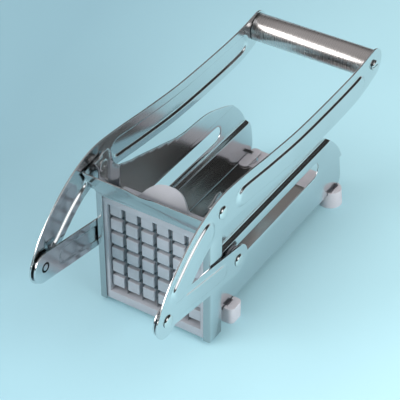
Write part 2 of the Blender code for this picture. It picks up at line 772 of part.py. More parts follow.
def blades():
    """Upright blades keep their front half at each crossing, and level blades their rear half."""
    upright, level = blade_slots(0)
    middle = BLADE_FRONT_Y + BLADE_DEPTH / 2
    half = BLADE_THICKNESS / 2 + FIT_GAP
    reach = PITCH * GRID_COUNT
    rear_notches = [
        box(
            "rear_notch",
            (-reach, middle - FIT_GAP / 2, GRID_CENTRE_Z + z - half),
            (reach, middle + BLADE_DEPTH, GRID_CENTRE_Z + z + half))
        for z in blade_line_places()]
    front_notches = [
        box(
            "front_notch",
            (x - half, middle - BLADE_DEPTH, GRID_CENTRE_Z - reach),
            (x + half, middle + FIT_GAP / 2, GRID_CENTRE_Z + reach))
        for x in blade_line_places()]
    pieces = []
    for i, blank in enumerate(upright):
        cut(blank, *rear_notches)
        pieces.append(finished(blank, "blade_upright_%d" % (i + 1), "blade_steel"))
    for i, blank in enumerate(level):
        cut(blank, *front_notches)
        pieces.append(finished(blank, "blade_level_%d" % (i + 1), "blade_steel"))
    return pieces


# Pusher

def finger_places():
    """Distances of the fingers from the middle of the grid."""
    return [PITCH * (i - (GRID_COUNT - 1) / 2) for i in range(GRID_COUNT)]


def finger_block():
    """All fingers in one mesh, each a box with softened edges, rooted inside the back plate."""
    mesh = bpy.data.meshes.new("fingers")
    body = bmesh.new()
    length = PUSHER_PLATE_Y + PUSHER_PLATE_DEPTH / 2 - FINGER_FRONT_Y
    size = Matrix.Diagonal((FINGER_WIDTH, length, FINGER_HEIGHT, 1))
    for x in finger_places():
        for z in finger_places():
            centre = (x, FINGER_FRONT_Y + length / 2, GRID_CENTRE_Z + z)
            bmesh.ops.create_cube(body, size=1, matrix=Matrix.Translation(centre) @ size)
    front_edges = [
        edge for edge in body.edges
        if all(vertex.co.y < FINGER_FRONT_Y + length / 2 for vertex in edge.verts)]
    bmesh.ops.bevel(body, geom=front_edges, offset=FINGER_EDGE, segments=1, affect="EDGES")
    body.to_mesh(mesh)
    body.free()
    return link_object("fingers", mesh)


def pusher_screw_places():
    """Each screw stands behind the middle of a finger."""
    return [
        (x, GRID_CENTRE_Z + z)
        for x in (-PUSHER_SCREW_REACH, PUSHER_SCREW_REACH)
        for z in (-PUSHER_SCREW_REACH, PUSHER_SCREW_REACH)]


def pusher_block():
    rear = PUSHER_PLATE_Y + PUSHER_PLATE_DEPTH
    holes = [
        circle(place, PUSHER_SCREW_RADIUS + FIT_GAP, ROUND_STEPS // 2)
        for place in pusher_screw_places()]
    edge = rounded_rectangle(
        (-PUSHER_HALF_WIDTH, FLOOR_TOP_Z + FIT_GAP), (PUSHER_HALF_WIDTH, PUSHER_TOP_Z), CARTRIDGE_CORNER, 4)
    plate = slab("back_plate", [edge, *holes], "Y", PUSHER_PLATE_Y, rear)
    join(plate, finger_block())
    return [finished(plate, "pusher_block", "gray_plastic")]


def pusher_carriage():
    """A plate on the back of the pusher block, with webs to a boss round the axle."""
    rear = CARRIAGE_Y + CARRIAGE_PLATE_DEPTH
    holes = [
        circle(place, PUSHER_SCREW_RADIUS + FIT_GAP, ROUND_STEPS // 2)
        for place in pusher_screw_places()]
    edge = rectangle(
        (-CARRIAGE_HALF_WIDTH, GRID_CENTRE_Z - CARRIAGE_HALF_HEIGHT),
        (CARRIAGE_HALF_WIDTH, GRID_CENTRE_Z + CARRIAGE_HALF_HEIGHT))
    plate = slab("carriage_plate", [edge, *holes], "Y", CARRIAGE_Y, rear)
    outer = CARRIAGE_HALF_WIDTH - CARRIAGE_WEB
    webs = [
        box(
            "web",
            (x - CARRIAGE_WEB / 2, rear - CARRIAGE_PLATE_DEPTH / 2, AXLE_Z - CARRIAGE_WEB_HALF_HEIGHT / 2),
            (x + CARRIAGE_WEB / 2, AXLE_Y, AXLE_Z + CARRIAGE_WEB_HALF_HEIGHT / 2))
        for x in (-outer, 0, outer)]
    boss = turned(
        "boss",
        [(0, PUSHER_HALF_WIDTH), (BOSS_RADIUS, PUSHER_HALF_WIDTH), (BOSS_RADIUS, -PUSHER_HALF_WIDTH),
         (0, -PUSHER_HALF_WIDTH)],
        (AXLE_Y, AXLE_Z), ROUND_STEPS)
    reach = PUSHER_HALF_WIDTH + OVERRUN
    bore_radius = AXLE_RADIUS + FIT_GAP
    bore = turned(
        "boss_bore", [(0, reach), (bore_radius, reach), (bore_radius, -reach), (0, -reach)],
        (AXLE_Y, AXLE_Z), ROUND_STEPS)
    join(plate, *webs, boss)
    cut(plate, bore)
    return [finished(plate, "pusher_carriage", "gray_plastic")]


def pusher_axle():
    reach = LINK_INNER_X - FIT_GAP
    axle = turned(
        "axle", [(0, reach), (AXLE_RADIUS, reach), (AXLE_RADIUS, -reach), (0, -reach)],
        (AXLE_Y, AXLE_Z), ROUND_STEPS)
    return [finished(axle, "pusher_axle", "rivet_steel")]


def slide_bushes():
    """A spool that runs in the slot, with a flange on each side of the pressed band."""
    bore = AXLE_RADIUS + FIT_GAP
    inner = PUSHER_HALF_WIDTH + FIT_GAP
    inner_flange = BAND_INNER_X - FIT_GAP
    outer_flange = BAND_OUTER_X + FIT_GAP
    outer = outer_flange + BUSH_FLANGE
    profile = [
        (bore, outer),
        (BUSH_FLANGE_RADIUS, outer),
        (BUSH_FLANGE_RADIUS, outer_flange),
        (BUSH_RADIUS, outer_flange),
        (BUSH_RADIUS, inner_flange),
        (BUSH_FLANGE_RADIUS, inner_flange),
        (BUSH_FLANGE_RADIUS, inner),
        (bore, inner)]
    return both_sides(turned("bush", profile, (AXLE_Y, AXLE_Z), ROUND_STEPS), "slide_bush", "pale_plastic")


def pusher_screws():
    pieces = []
    seat = CARRIAGE_Y + CARRIAGE_PLATE_DEPTH + FIT_GAP
    tip = PUSHER_PLATE_Y + PUSHER_PLATE_DEPTH / 2
    head = seat + PUSHER_SCREW_HEAD
    for i, (x, z) in enumerate(pusher_screw_places()):
        profile = [
            (0, head),
            (PUSHER_SCREW_HEAD_RADIUS * 0.7, head),
            (PUSHER_SCREW_HEAD_RADIUS, seat + PUSHER_SCREW_HEAD / 2),
            (PUSHER_SCREW_HEAD_RADIUS, seat),
            (PUSHER_SCREW_RADIUS, seat),
            (PUSHER_SCREW_RADIUS, tip),
            (0, tip)]
        screw = turned("screw", profile, (0, 0), ROUND_STEPS // 2)
        screw.rotation_euler = (-math.pi / 2, 0, 0)
        screw.location = (x, 0, z)
        pieces.append(finished(screw, "pusher_screw_%d" % (i + 1), "rivet_steel"))
    return pieces


# Lever and links

def arm_path():
    """The middle line of a lever arm, from the handle over the pivot to the front pin."""
    rear = [(PIVOT_Y + u * HANDLE_REACH, PIVOT_Z - v * HANDLE_REACH) for u, v in ARM_REAR_SHARES]
    front = [(PIVOT_Y - u * CRANK_RUN, PIVOT_Z - v * CRANK_DROP) for u, v in ARM_FRONT_SHARES]
    return smooth([(HANDLE_Y, HANDLE_Z), *rear, (PIVOT_Y, PIVOT_Z), *front, (PIN_Y, PIN_Z)], 4)


def arm_half_widths(path):
    """The arm narrows a little towards both rounded ends."""
    lengths = path_lengths(path)
    widths = []
    for along in lengths:
        to_end = min(along, lengths[-1] - along)
        share = min(to_end / ARM_TAPER_LENGTH, 1.0)
        widths.append(ARM_END_HALF_WIDTH + (ARM_HALF_WIDTH - ARM_END_HALF_WIDTH) * share * (2 - share))
    return widths


def arm_outline():
    path = arm_path()
    return ribbon(path, arm_half_widths(path), 10)


def embossed(sheet, path, half_width, flank, height, inner_x, outer_x, name):
    """Presses a raised form with sloping flanks out of a flat sheet, and hollows its back."""
    thickness = outer_x - inner_x
    count = len(path)
    slope = flank / height
    root = ribbon(path, [half_width + slope * thickness / 2] * count, 8)
    crown = ribbon(path, [half_width - flank] * count, 8)
    mouth = ribbon(path, [half_width + slope * SHEET] * count, 8)
    raised = loft(name + "_raised", [
        [(outer_x - thickness / 2, y, z) for y, z in root],
        [(outer_x + height, y, z) for y, z in crown]])
    hollow = loft(name + "_hollow", [
        [(inner_x - SHEET, y, z) for y, z in mouth],
        [(inner_x + height, y, z) for y, z in crown]])
    join(sheet, raised)
    cut(sheet, hollow)


def lever_arms():
    holes = [
        circle((PIVOT_Y, PIVOT_Z), RIVET_HOLE_RADIUS, ROUND_STEPS),
        circle((PIN_Y, PIN_Z), RIVET_HOLE_RADIUS, ROUND_STEPS),
        circle((HANDLE_Y, HANDLE_Z), HANDLE_SCREW_RADIUS + FIT_GAP, ROUND_STEPS)]
    arm = slab("arm", [arm_outline(), *holes], "X", ARM_INNER_X, ARM_OUTER_X)
    path = arm_path()
    lengths = path_lengths(path)
    pivot_along = min(zip((math.dist(p, (PIVOT_Y, PIVOT_Z)) for p in path), lengths))[1]
    rear_form = [
        (y, z - REAR_EMBOSS_DROP)
        for y, z in stretch(path, REAR_EMBOSS_HANDLE_MARGIN, pivot_along - REAR_EMBOSS_PIVOT_MARGIN, 16)]
    front_form = stretch(
        path, pivot_along + FRONT_EMBOSS_PIVOT_MARGIN, lengths[-1] - FRONT_EMBOSS_PIN_MARGIN, 6)
    forms = (
        ("rear_form", rear_form, REAR_EMBOSS_HALF_WIDTH),
        ("front_form", front_form, FRONT_EMBOSS_HALF_WIDTH))
    for label, form_path, half_width in forms:
        embossed(arm, form_path, half_width, ARM_EMBOSS_FLANK, ARM_EMBOSS, ARM_INNER_X, ARM_OUTER_X, label)
    return both_sides(arm, "lever_arm", "polished_steel")


def countersink(place):
    """A cutter that opens a hole in the inner face of a right link for a spread rivet end."""
    mouth = RIVET_RADIUS + COUNTERSINK + FIT_GAP * 1.5
    depth = COUNTERSINK + FIT_GAP / 2
    outside = LINK_INNER_X - OVERRUN
    profile = [
        (0, LINK_INNER_X + depth),
        (mouth - depth, LINK_INNER_X + depth),
        (mouth, LINK_INNER_X),
        (mouth, outside),
        (0, outside)]
    return turned("countersink", profile, place, ROUND_STEPS)


def links():
    ends = [(PIN_Y, PIN_Z), (AXLE_Y, AXLE_Z)]
    length = math.dist(*ends)
    edge = ribbon(ends, [LINK_HALF_WIDTH, LINK_HALF_WIDTH], 12)
    holes = [circle(end, RIVET_HOLE_RADIUS, ROUND_STEPS) for end in ends]
    link = slab("link", [edge, *holes], "X", LINK_INNER_X, LINK_OUTER_X)
    form_path = stretch(ends, LINK_EMBOSS_MARGIN, length - LINK_EMBOSS_MARGIN, 1)
    embossed(
        link, form_path, LINK_EMBOSS_HALF_WIDTH, LINK_EMBOSS_FLANK, LINK_EMBOSS,
        LINK_INNER_X, LINK_OUTER_X, "link_form")
    cut(link, countersink((PIN_Y, PIN_Z)))
    return both_sides(link, "link", "polished_steel")


def rivet_profile(head_x, tail_x, bore_depth, tail_flare):
    """A domed head outside, a plain shank, and a hollow end that is spread when one is wanted."""
    dome = [
        (RIVET_HEAD_RADIUS * math.sin(math.pi / 2 * i / 4), head_x + RIVET_HEAD * math.cos(math.pi / 2 * i / 4))
        for i in range(5)]
    profile = [*dome, (RIVET_RADIUS, head_x)]
    if tail_flare:
        profile += [
            (RIVET_RADIUS, tail_x + tail_flare),
            (RIVET_HEAD_RADIUS, tail_x + tail_flare),
            (RIVET_HEAD_RADIUS - FIT_GAP, tail_x)]
    else:
        profile.append((RIVET_RADIUS, tail_x))
    if bore_depth:
        profile += [(RIVET_TAIL_BORE, tail_x), (RIVET_TAIL_BORE, tail_x + bore_depth), (0, tail_x + bore_depth)]
    else:
        profile.append((0, tail_x))
    return profile


def pivot_rivets():
    tail = EAR_INNER_X - FIT_GAP - SHEET
    profile = rivet_profile(ARM_OUTER_X + FIT_GAP, tail, RIVET_HEAD * 2, SHEET)
    return both_sides(turned("rivet", profile, (PIVOT_Y, PIVOT_Z), ROUND_STEPS), "pivot_rivet", "rivet_steel")


def pin_rivets():
    """Their ends are spread into the links, so that they pass the front frame as the lever swings."""
    profile = rivet_profile(ARM_OUTER_X + FIT_GAP, LINK_INNER_X, 0, 0)
    spread = [
        (RIVET_RADIUS, LINK_INNER_X + COUNTERSINK),
        (RIVET_RADIUS + COUNTERSINK, LINK_INNER_X),
        (RIVET_TAIL_BORE, LINK_INNER_X),
        (RIVET_TAIL_BORE, LINK_INNER_X + RIVET_HEAD),
        (0, LINK_INNER_X + RIVET_HEAD)]
    profile[-2:] = spread
    return both_sides(turned("rivet", profile, (PIN_Y, PIN_Z), ROUND_STEPS), "pin_rivet", "rivet_steel")


def link_rivets():
    profile = rivet_profile(LINK_OUTER_X + FIT_GAP, LINK_INNER_X, 0, 0)
    return both_sides(turned("rivet", profile, (AXLE_Y, AXLE_Z), ROUND_STEPS), "link_rivet", "rivet_steel")


def washer_profile(low_x, high_x):
    bore = RIVET_RADIUS + FIT_GAP
    outer = RIVET_HEAD_RADIUS + FIT_GAP
    return [(bore, high_x), (outer, high_x), (outer, low_x), (bore, low_x)]


def pivot_spacers():
    """Rings on the pivot rivets that fill the space between the inner and the outer ears."""
    profile = washer_profile(EAR_OUTER_X + FIT_GAP, OUTER_EAR_INNER_X - FIT_GAP)
    return both_sides(turned("spacer", profile, (PIVOT_Y, PIVOT_Z), ROUND_STEPS), "pivot_spacer", "rivet_steel")


def pin_spacers():
    """Rings on the front rivets that keep the links off the arms."""
    profile = washer_profile(LINK_OUTER_X + FIT_GAP, ARM_INNER_X - FIT_GAP)
    return both_sides(turned("spacer", profile, (PIN_Y, PIN_Z), ROUND_STEPS), "pin_spacer", "rivet_steel")


def handle():
    reach = ARM_INNER_X - FIT_GAP
    bore = HANDLE_RADIUS - HANDLE_WALL
    tube = turned(
        "tube", [(bore, reach), (HANDLE_RADIUS, reach), (HANDLE_RADIUS, -reach), (bore, -reach)],
        (HANDLE_Y, HANDLE_Z), TUBE_STEPS)
    screw_bore = HANDLE_SCREW_RADIUS + FIT_GAP
    plug_outer = bore - FIT_GAP
    plug = turned(
        "plug",
        [(screw_bore, reach), (plug_outer, reach), (plug_outer, reach - PLUG_LENGTH),
         (screw_bore, reach - PLUG_LENGTH)],
        (HANDLE_Y, HANDLE_Z), ROUND_STEPS)
    seat = ARM_OUTER_X + FIT_GAP
    screw = turned(
        "screw",
        [(0, seat + HANDLE_SCREW_HEAD),
         (HANDLE_SCREW_HEAD_RADIUS * 0.75, seat + HANDLE_SCREW_HEAD),
         (HANDLE_SCREW_HEAD_RADIUS, seat + HANDLE_SCREW_HEAD / 2),
         (HANDLE_SCREW_HEAD_RADIUS, seat),
         (HANDLE_SCREW_RADIUS, seat),
         (HANDLE_SCREW_RADIUS, reach - PLUG_LENGTH * 0.8),
         (0, reach - PLUG_LENGTH * 0.8)],
        (HANDLE_Y, HANDLE_Z), ROUND_STEPS)
    slot_reach = HANDLE_SCREW_HEAD_RADIUS + OVERRUN
    head_face = seat + HANDLE_SCREW_HEAD
    slot = box(
        "screw_slot",
        (head_face - HANDLE_SCREW_HEAD / 2, HANDLE_Y - slot_reach, HANDLE_Z - HANDLE_SCREW_SLOT / 2),
        (head_face + OVERRUN, HANDLE_Y + slot_reach, HANDLE_Z + HANDLE_SCREW_SLOT / 2))
    cut(screw, slot)
    return (
        [finished(tube, "handle_tube", "polished_steel")]
        + both_sides(plug, "handle_plug", "gray_plastic")
        + both_sides(screw, "handle_screw", "rivet_steel"))


# Feet

def front_feet():
    """A rounded block under the side plate's edge, with a pocket for it in the outer half."""
    outer = FRONT_FOOT_OUTER_X
    low = (outer - FRONT_FOOT_WIDTH, FRONT_FOOT_Y - FRONT_FOOT_LENGTH / 2)
    high = (outer, FRONT_FOOT_Y + FRONT_FOOT_LENGTH / 2)
    foot = slab("foot", [rounded_rectangle(low, high, FRONT_FOOT_CORNER, 5)], "Z", 0, FOOT_TOP_Z)
    cut(foot, plate_recess(low[1], high[1]), slit(low[1], high[1]))
    return both_sides(foot, "front_foot", "pale_plastic")


def plate_recess(front_y, rear_y):
    """Room for the floor and the lower edge of the side plate above the inner half of a foot."""
    return box(
        "plate_recess",
        (0, front_y - OVERRUN, FLOOR_TOP_Z - SHEET - FIT_GAP),
        (PLATE_OUTER_X + FIT_GAP, rear_y + OVERRUN, FOOT_TOP_Z + OVERRUN))


def slit(front_y, rear_y):
    """The dark slit beside the plate where its edge enters the foot."""
    return box(
        "slit",
        (PLATE_OUTER_X, front_y + FOOT_SLIT_END, FOOT_TOP_Z - FOOT_SLIT_DEPTH),
        (PLATE_OUTER_X + FIT_GAP + FOOT_SLIT, rear_y - FOOT_SLIT_END, FOOT_TOP_Z + OVERRUN))


def rear_feet():
    """A tapered round foot with a tongue that reaches over the bridge inside the body."""
    rings = [
        [(x, y, z) for x, y in circle((REAR_FOOT_X, REAR_FOOT_Y), radius, TUBE_STEPS)]
        for radius, z in ((REAR_FOOT_RADIUS, 0), (REAR_FOOT_RADIUS - REAR_FOOT_TAPER, FOOT_TOP_Z))]
    foot = loft("foot", rings)
    front = REAR_FOOT_Y - REAR_FOOT_RADIUS
    rear = REAR_FOOT_Y + REAR_FOOT_RADIUS
    cut(foot, plate_recess(front, rear), slit(front, rear))
    tongue_x = PLATE_INNER_X - FIT_GAP
    tongue_low = FLOOR_TOP_Z + FIT_GAP
    tongue = slab(
        "tongue",
        [rounded_rectangle(
            (tongue_x - TONGUE_WIDTH, REAR_FOOT_Y - TONGUE_REACH_FRONT),
            (tongue_x, REAR_FOOT_Y + TONGUE_REACH_REAR), FRONT_FOOT_CORNER, 5)],
        "Z", tongue_low, FOOT_TOP_Z)
    neck_radius = TONGUE_WIDTH * NECK_SHARE
    neck = loft("neck", [
        [(x, y, z) for x, y in circle((tongue_x - neck_radius, REAR_FOOT_Y), neck_radius, ROUND_STEPS)]
        for z in (FOOT_SLIT_DEPTH, (tongue_low + FOOT_TOP_Z) / 2)])
    join(foot, neck, tongue)
    return both_sides(foot, "rear_foot", "pale_plastic")


def rear_bridge():
    """A plastic strip across the open rear of the floor, with a ledge under the steel."""
    front = FLOOR_REAR_Y + FIT_GAP
    rear = front + BRIDGE_LENGTH
    top = FLOOR_TOP_Z - SHEET
    half = PLATE_INNER_X
    bridge = slab(
        "bridge",
        [rounded_rectangle((-half, front), (half, rear), FRONT_FOOT_CORNER, 5)], "Z", top - BRIDGE_THICKNESS, top)
    ledge = box(
        "ledge",
        (-half + FRONT_FOOT_WIDTH, front - BRIDGE_LEDGE, top - BRIDGE_THICKNESS + FIT_GAP),
        (half - FRONT_FOOT_WIDTH, front + BRIDGE_LEDGE, top - FIT_GAP))
    clearance = REAR_FOOT_RADIUS + FIT_GAP
    foot_spaces = [
        loft("foot_space", [
            [(x, y, z) for x, y in circle((side * REAR_FOOT_X, REAR_FOOT_Y), clearance, TUBE_STEPS)]
            for z in (0, FOOT_TOP_Z + OVERRUN)])
        for side in (-1, 1)]
    join(bridge, ledge)
    cut(bridge, *foot_spaces)
    return [finished(bridge, "rear_bridge", "pale_plastic")]


# Assembly

def pivot_empty(name, place, parent):
    empty = link_object(name, None)
    empty.parent = parent
    empty.location = place
    return empty


def attach(pieces, joint):
    """Parents pieces to a joint's empty without moving them in the body's own frame."""
    for piece in pieces:
        piece.parent = joint
        piece.matrix_parent_inverse = Matrix.Translation(-joint.location)


def main():
    outline_ys = [y for y, z in arm_outline()]
    root = pivot_empty("fry_cutter", (0, 0, 0), None)
    lever = pivot_empty("lever_pivot", (0, PIVOT_Y, PIVOT_Z), root)
    link_joint = pivot_empty("link_pivot", (0, PIN_Y, PIN_Z), root)
    slide = pivot_empty("pusher_slide", (0, AXLE_Y, AXLE_Z), root)
    attach(
        side_plates() + floor_plate() + front_frame() + blade_frame() + blades()
        + front_feet() + rear_feet() + rear_bridge() + pivot_rivets() + pivot_spacers(),
        root)
    attach(lever_arms() + handle() + pin_rivets() + pin_spacers(), lever)
    attach(links() + link_rivets(), link_joint)
    attach(
        pusher_block() + pusher_carriage() + pusher_axle() + slide_bushes() + pusher_screws(),
        slide)
    root.location = (0, -(min(outline_ys) + max(outline_ys)) / 2, 0)
    bpy.context.view_layer.update()


main()
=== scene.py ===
"""Looks of the french fry cutter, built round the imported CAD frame.

Lengths are in metres. Outlines are in the source's own frame, in which Y is counted from the front face
plane of the body, and ROOT_Y moves them into the shared frame.
"""

import json
import math

import bmesh
import bpy
import numpy as np
from mathutils import Matrix, Vector
from mathutils.geometry import delaunay_2d_cdt


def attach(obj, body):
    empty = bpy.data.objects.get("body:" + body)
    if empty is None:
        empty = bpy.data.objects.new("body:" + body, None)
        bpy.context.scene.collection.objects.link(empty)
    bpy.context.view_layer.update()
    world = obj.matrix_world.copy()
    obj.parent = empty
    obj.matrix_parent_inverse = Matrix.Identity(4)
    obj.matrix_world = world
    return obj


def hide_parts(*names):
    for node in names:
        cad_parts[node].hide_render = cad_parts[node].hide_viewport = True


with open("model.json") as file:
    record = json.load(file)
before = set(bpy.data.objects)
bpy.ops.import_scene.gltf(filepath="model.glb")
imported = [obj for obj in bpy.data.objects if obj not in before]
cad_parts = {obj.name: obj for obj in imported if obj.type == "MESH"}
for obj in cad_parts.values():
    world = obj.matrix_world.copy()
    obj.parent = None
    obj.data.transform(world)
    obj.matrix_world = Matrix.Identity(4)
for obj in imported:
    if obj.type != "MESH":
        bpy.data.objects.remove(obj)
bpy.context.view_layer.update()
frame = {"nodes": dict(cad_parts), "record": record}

ROOT_Y = -0.0756735
MM = 0.001

# Places and sizes of the source, in millimetres
PIVOT = (6.9, 109.3)
PIN = (-55.1, 67.8)
HANDLE = (206.5, 105.8)
AXLE = (31.5, 52.0)
SHEET = 0.8
PLATE_OUTER_X = 37.5
BAND_OUTER_X = 40.5
EAR_OUTER_X = 42.4
LINK_INNER_X = 43.8
LINK_OUTER_X = 45.0
ARM_INNER_X = 46.5
ARM_OUTER_X = 47.7
BODY_LENGTH = 186.7
PLATE_BOTTOM_Z = 10.7
PLATE_TOP_Z = 105.8
EAR_RADIUS = 10.5
JOG_Y = 13.7
JOG_LENGTH = 4.0
BAND_LOW_Z = 38.6
BAND_HIGH_Z = 65.0
BAND_FLANK = 2.5
SLOT_RADIUS = 6.5
SLOT_FRONT_Y = 28.5
SLOT_REAR_Y = 139.2
FLOOR_TOP_Z = 11.1
FLOOR_HALF_WIDTH = 36.62
FLOOR_REAR_Y = 167.5
BEAD_X = 24.0
BEAD_FRONT_Y = 26.0
BEAD_REAR_Y = 150.0
BEAD_HEIGHT = 0.28
BEAD_RUN_OUT = 4.0
ARM_HALF_WIDTH = 13.5
ARM_END_HALF_WIDTH = 12.0
ARM_EMBOSS_FLANK = 2.2
ARM_EMBOSS = 1.6
LINK_HALF_WIDTH = 11.0
RIM = 0.35
HANDLE_RADIUS = 10.25
HANDLE_BORE = 9.05
RIVET_RADIUS = 3.0
RIVET_HEAD_RADIUS = 4.4
RIVET_HEAD = 1.4
ARM_RIVET_SEAT_X = 48.0
LINK_RIVET_SEAT_X = 45.3
PITCH = 12.0
FINGER = (9.0, 13.8, 8.8)
FINGER_MIDDLE_Y = 8.9
FINGER_PLATE = (71.8, 3.5, 76.6)
FINGER_PLATE_MIDDLE = (0, 16.75, 49.7)
HOLDER_TOP = 90.7
TAB_HEIGHT = 11.8
TAB_BOW = 1.9
GRID_MIDDLE_Z = 50.0
EDGE_FOOT = 4.4
BLADE_HALF = 0.3
BLADE_TIP_HALF = 0.05


# Curves and outlines in the plane of a sheet

def smooth(points, steps):
    """Points along a smooth curve that passes through every given point."""
    result = []
    last = len(points) - 1
    for i in range(last):
        a = np.array(points[max(i - 1, 0)])
        b = np.array(points[i])
        c = np.array(points[i + 1])
        d = np.array(points[min(i + 2, last)])
        for step in range(steps):
            t = step / steps
            result.append(0.5 * (2 * b + (c - a) * t + (2 * a - 5 * b + 4 * c - d) * t ** 2
                                 + (3 * b - a - 3 * c + d) * t ** 3))
    result.append(np.array(points[-1]))
    return np.array(result)


def lengths_along(path):
    """Distance of each point of a path from its start, along the path."""
    return np.concatenate(([0.0], np.cumsum(np.linalg.norm(np.diff(path, axis=0), axis=1))))


def points_at(path, wanted):
    """Points and left normals of a path at distances from its start, which may run past its ends."""
    along = lengths_along(path)
    inside = np.clip(wanted, 0.0, along[-1])
    spot = np.stack([np.interp(inside, along, path[:, k]) for k in range(2)], axis=-1)
    slopes = np.gradient(path, along, axis=0)
    slopes /= np.linalg.norm(slopes, axis=1)[:, None]
    tangent = np.stack([np.interp(inside, along, slopes[:, k]) for k in range(2)], axis=-1)
    tangent /= np.linalg.norm(tangent, axis=-1)[..., None]
    spot = spot + tangent * (wanted - inside)[..., None]
    normal = np.stack([-tangent[..., 1], tangent[..., 0]], axis=-1)
    return spot, normal


def distance_to_line(points, line):
    """Distance from each point to an open polyline."""
    best = np.full(points.shape[:-1], 1e9)
    for a, b in zip(line, line[1:]):
        run = b - a
        share = np.clip(((points - a) @ run) / (run @ run), 0.0, 1.0)
        best = np.minimum(best, np.linalg.norm(points - a - share[..., None] * run, axis=-1))
    return best


def ease(share):
    """Rises smoothly from 0 to 1."""
    share = np.clip(share, 0.0, 1.0)
    return share * share * (3 - 2 * share)


def rim_drop(edge_distance, radius):
    """How far a face falls away where it rounds over into the sheet's edge."""
    inside = np.clip(edge_distance, 0.0, radius)
    return radius - np.sqrt(np.maximum(radius ** 2 - (radius - inside) ** 2, 0.0))


# Meshes

def new_piece(name, vertices, faces, material, sharp_deg=40.0):
    """Makes a piece from points in millimetres of the source's frame."""
    mesh = bpy.data.meshes.new(name)
    placed = [(x * MM, y * MM + ROOT_Y, z * MM) for x, y, z in vertices]
    mesh.from_pydata(placed, [], [tuple(int(i) for i in face) for face in faces])
    mesh.validate()
    body = bmesh.new()
    body.from_mesh(mesh)
    bmesh.ops.remove_doubles(body, verts=body.verts, dist=0.001 * MM)
    bmesh.ops.recalc_face_normals(body, faces=body.faces)
    body.to_mesh(mesh)
    body.free()
    mesh.shade_smooth()
    mesh.set_sharp_from_angle(angle=math.radians(sharp_deg))
    mesh.materials.append(material)
    piece = bpy.data.objects.new(name, mesh)
    bpy.context.scene.collection.objects.link(piece)
    return piece


def mirrored(vertices):
    return [(-x, y, z) for x, y, z in vertices]


def grid_faces(rows, columns, first, flip):
    """Quads between the points of a grid whose first point has the given number."""
    faces = []
    for i in range(rows - 1):
        for j in range(columns - 1):
            a = first + i * columns + j
            quad = (a, a + 1, a + columns + 1, a + columns)
            faces.append(quad[::-1] if flip else quad)
    return faces


def pressed_strip(path, half_width, end_half_width, inner_x, outer_x, forms, rim):
    """A sheet strip with half-round ends and raised forms, as points and faces.

    Forms hold a core line, a half width, a flank width and a height.
    """
    columns = 85
    angles = np.linspace(-math.pi / 2, math.pi / 2, columns)
    across = np.sin(angles)
    total = lengths_along(path)[-1]
    lead = np.array([0.0, 0.02, 0.06, 0.12, 0.2, 0.3, 0.45, 0.7])
    reach = end_half_width * np.cos(angles)
    middle_rows = int(total / 1.1)
    starts = -reach[None, :] + lead[:, None]
    ends = (total + reach)[None, :] - lead[::-1][:, None]
    shares = np.linspace(0, 1, middle_rows + 2)[1:-1][:, None]
    middles = starts[-1][None, :] * (1 - shares) + ends[0][None, :] * shares
    along = np.vstack((starts, middles, ends))
    to_end = np.clip(np.minimum(along, total - along) / 30.0, 0.0, 1.0)
    widths = end_half_width + (half_width - end_half_width) * to_end * (2 - to_end)
    spot, normal = points_at(path, along)
    offset = widths * across[None, :]
    flat = spot + normal * offset[..., None]
    past = np.maximum(np.maximum(-along, along - total), 0.0)
    edge = widths - np.hypot(past, offset)
    raised = np.zeros(along.shape)
    for core, form_half, flank, height in forms:
        away = distance_to_line(flat, core)
        raised = np.maximum(raised, height * (1 - ease((away - (form_half - flank)) / flank)))
    drop = rim_drop(edge, rim)
    rows = along.shape[0]
    outer = np.stack([outer_x + raised - drop, flat[..., 0], flat[..., 1]], axis=-1).reshape(-1, 3)
    inner = np.stack([inner_x + raised + drop, flat[..., 0], flat[..., 1]], axis=-1).reshape(-1, 3)
    count = rows * columns
    faces = grid_faces(rows, columns, 0, False) + grid_faces(rows, columns, count, True)
    ring = (
        list(range(columns))
        + [i * columns + columns - 1 for i in range(1, rows)]
        + [(rows - 1) * columns + j for j in range(columns - 2, -1, -1)]
        + [i * columns for i in range(rows - 2, 0, -1)])
    for a, b in zip(ring, ring[1:] + ring[:1]):
        faces.append((a, b, b + count, a + count))
    return np.vstack((outer, inner)).tolist(), faces


def denser(loop, longest):
    """The same closed loop with no edge longer than the given length."""
    result = []
    for a, b in zip(loop, loop[1:] + loop[:1]):
        steps = max(1, math.ceil(math.dist(a, b) / longest))
        for k in range(steps):
            result.append((a[0] + (b[0] - a[0]) * k / steps, a[1] + (b[1] - a[1]) * k / steps))
    return result


def moved_inward(loop, distance):
    """A closed loop moved to its left by a small distance."""
    result = []
    count = len(loop)
    for i in range(count):
        before = np.array(loop[i - 1])
        here = np.array(loop[i])
        after = np.array(loop[(i + 1) % count])
        first = (here - before) / max(np.linalg.norm(here - before), 1e-9)
        second = (after - here) / max(np.linalg.norm(after - here), 1e-9)
        normal = np.array([-(first[1] + second[1]), first[0] + second[0]])
        normal /= max(np.linalg.norm(normal), 1e-9)
        square = np.array([-first[1], first[0]])
        result.append(tuple(here + normal * distance / max(float(normal @ square), 0.5)))
    return result


def signed_area(loop):
    return 0.5 * sum(a[0] * b[1] - b[0] * a[1] for a, b in zip(loop, loop[1:] + loop[:1]))


def inside_loop(points, loop):
    inside = np.zeros(len(points), bool)
    for (ax, ay), (bx, by) in zip(loop, loop[1:] + loop[:1]):
        crosses = (ay > points[:, 1]) != (by > points[:, 1])
        if ay != by:
            at = ax + (points[:, 1] - ay) * (bx - ax) / (by - ay)
            inside ^= crosses & (points[:, 0] < at)
    return inside


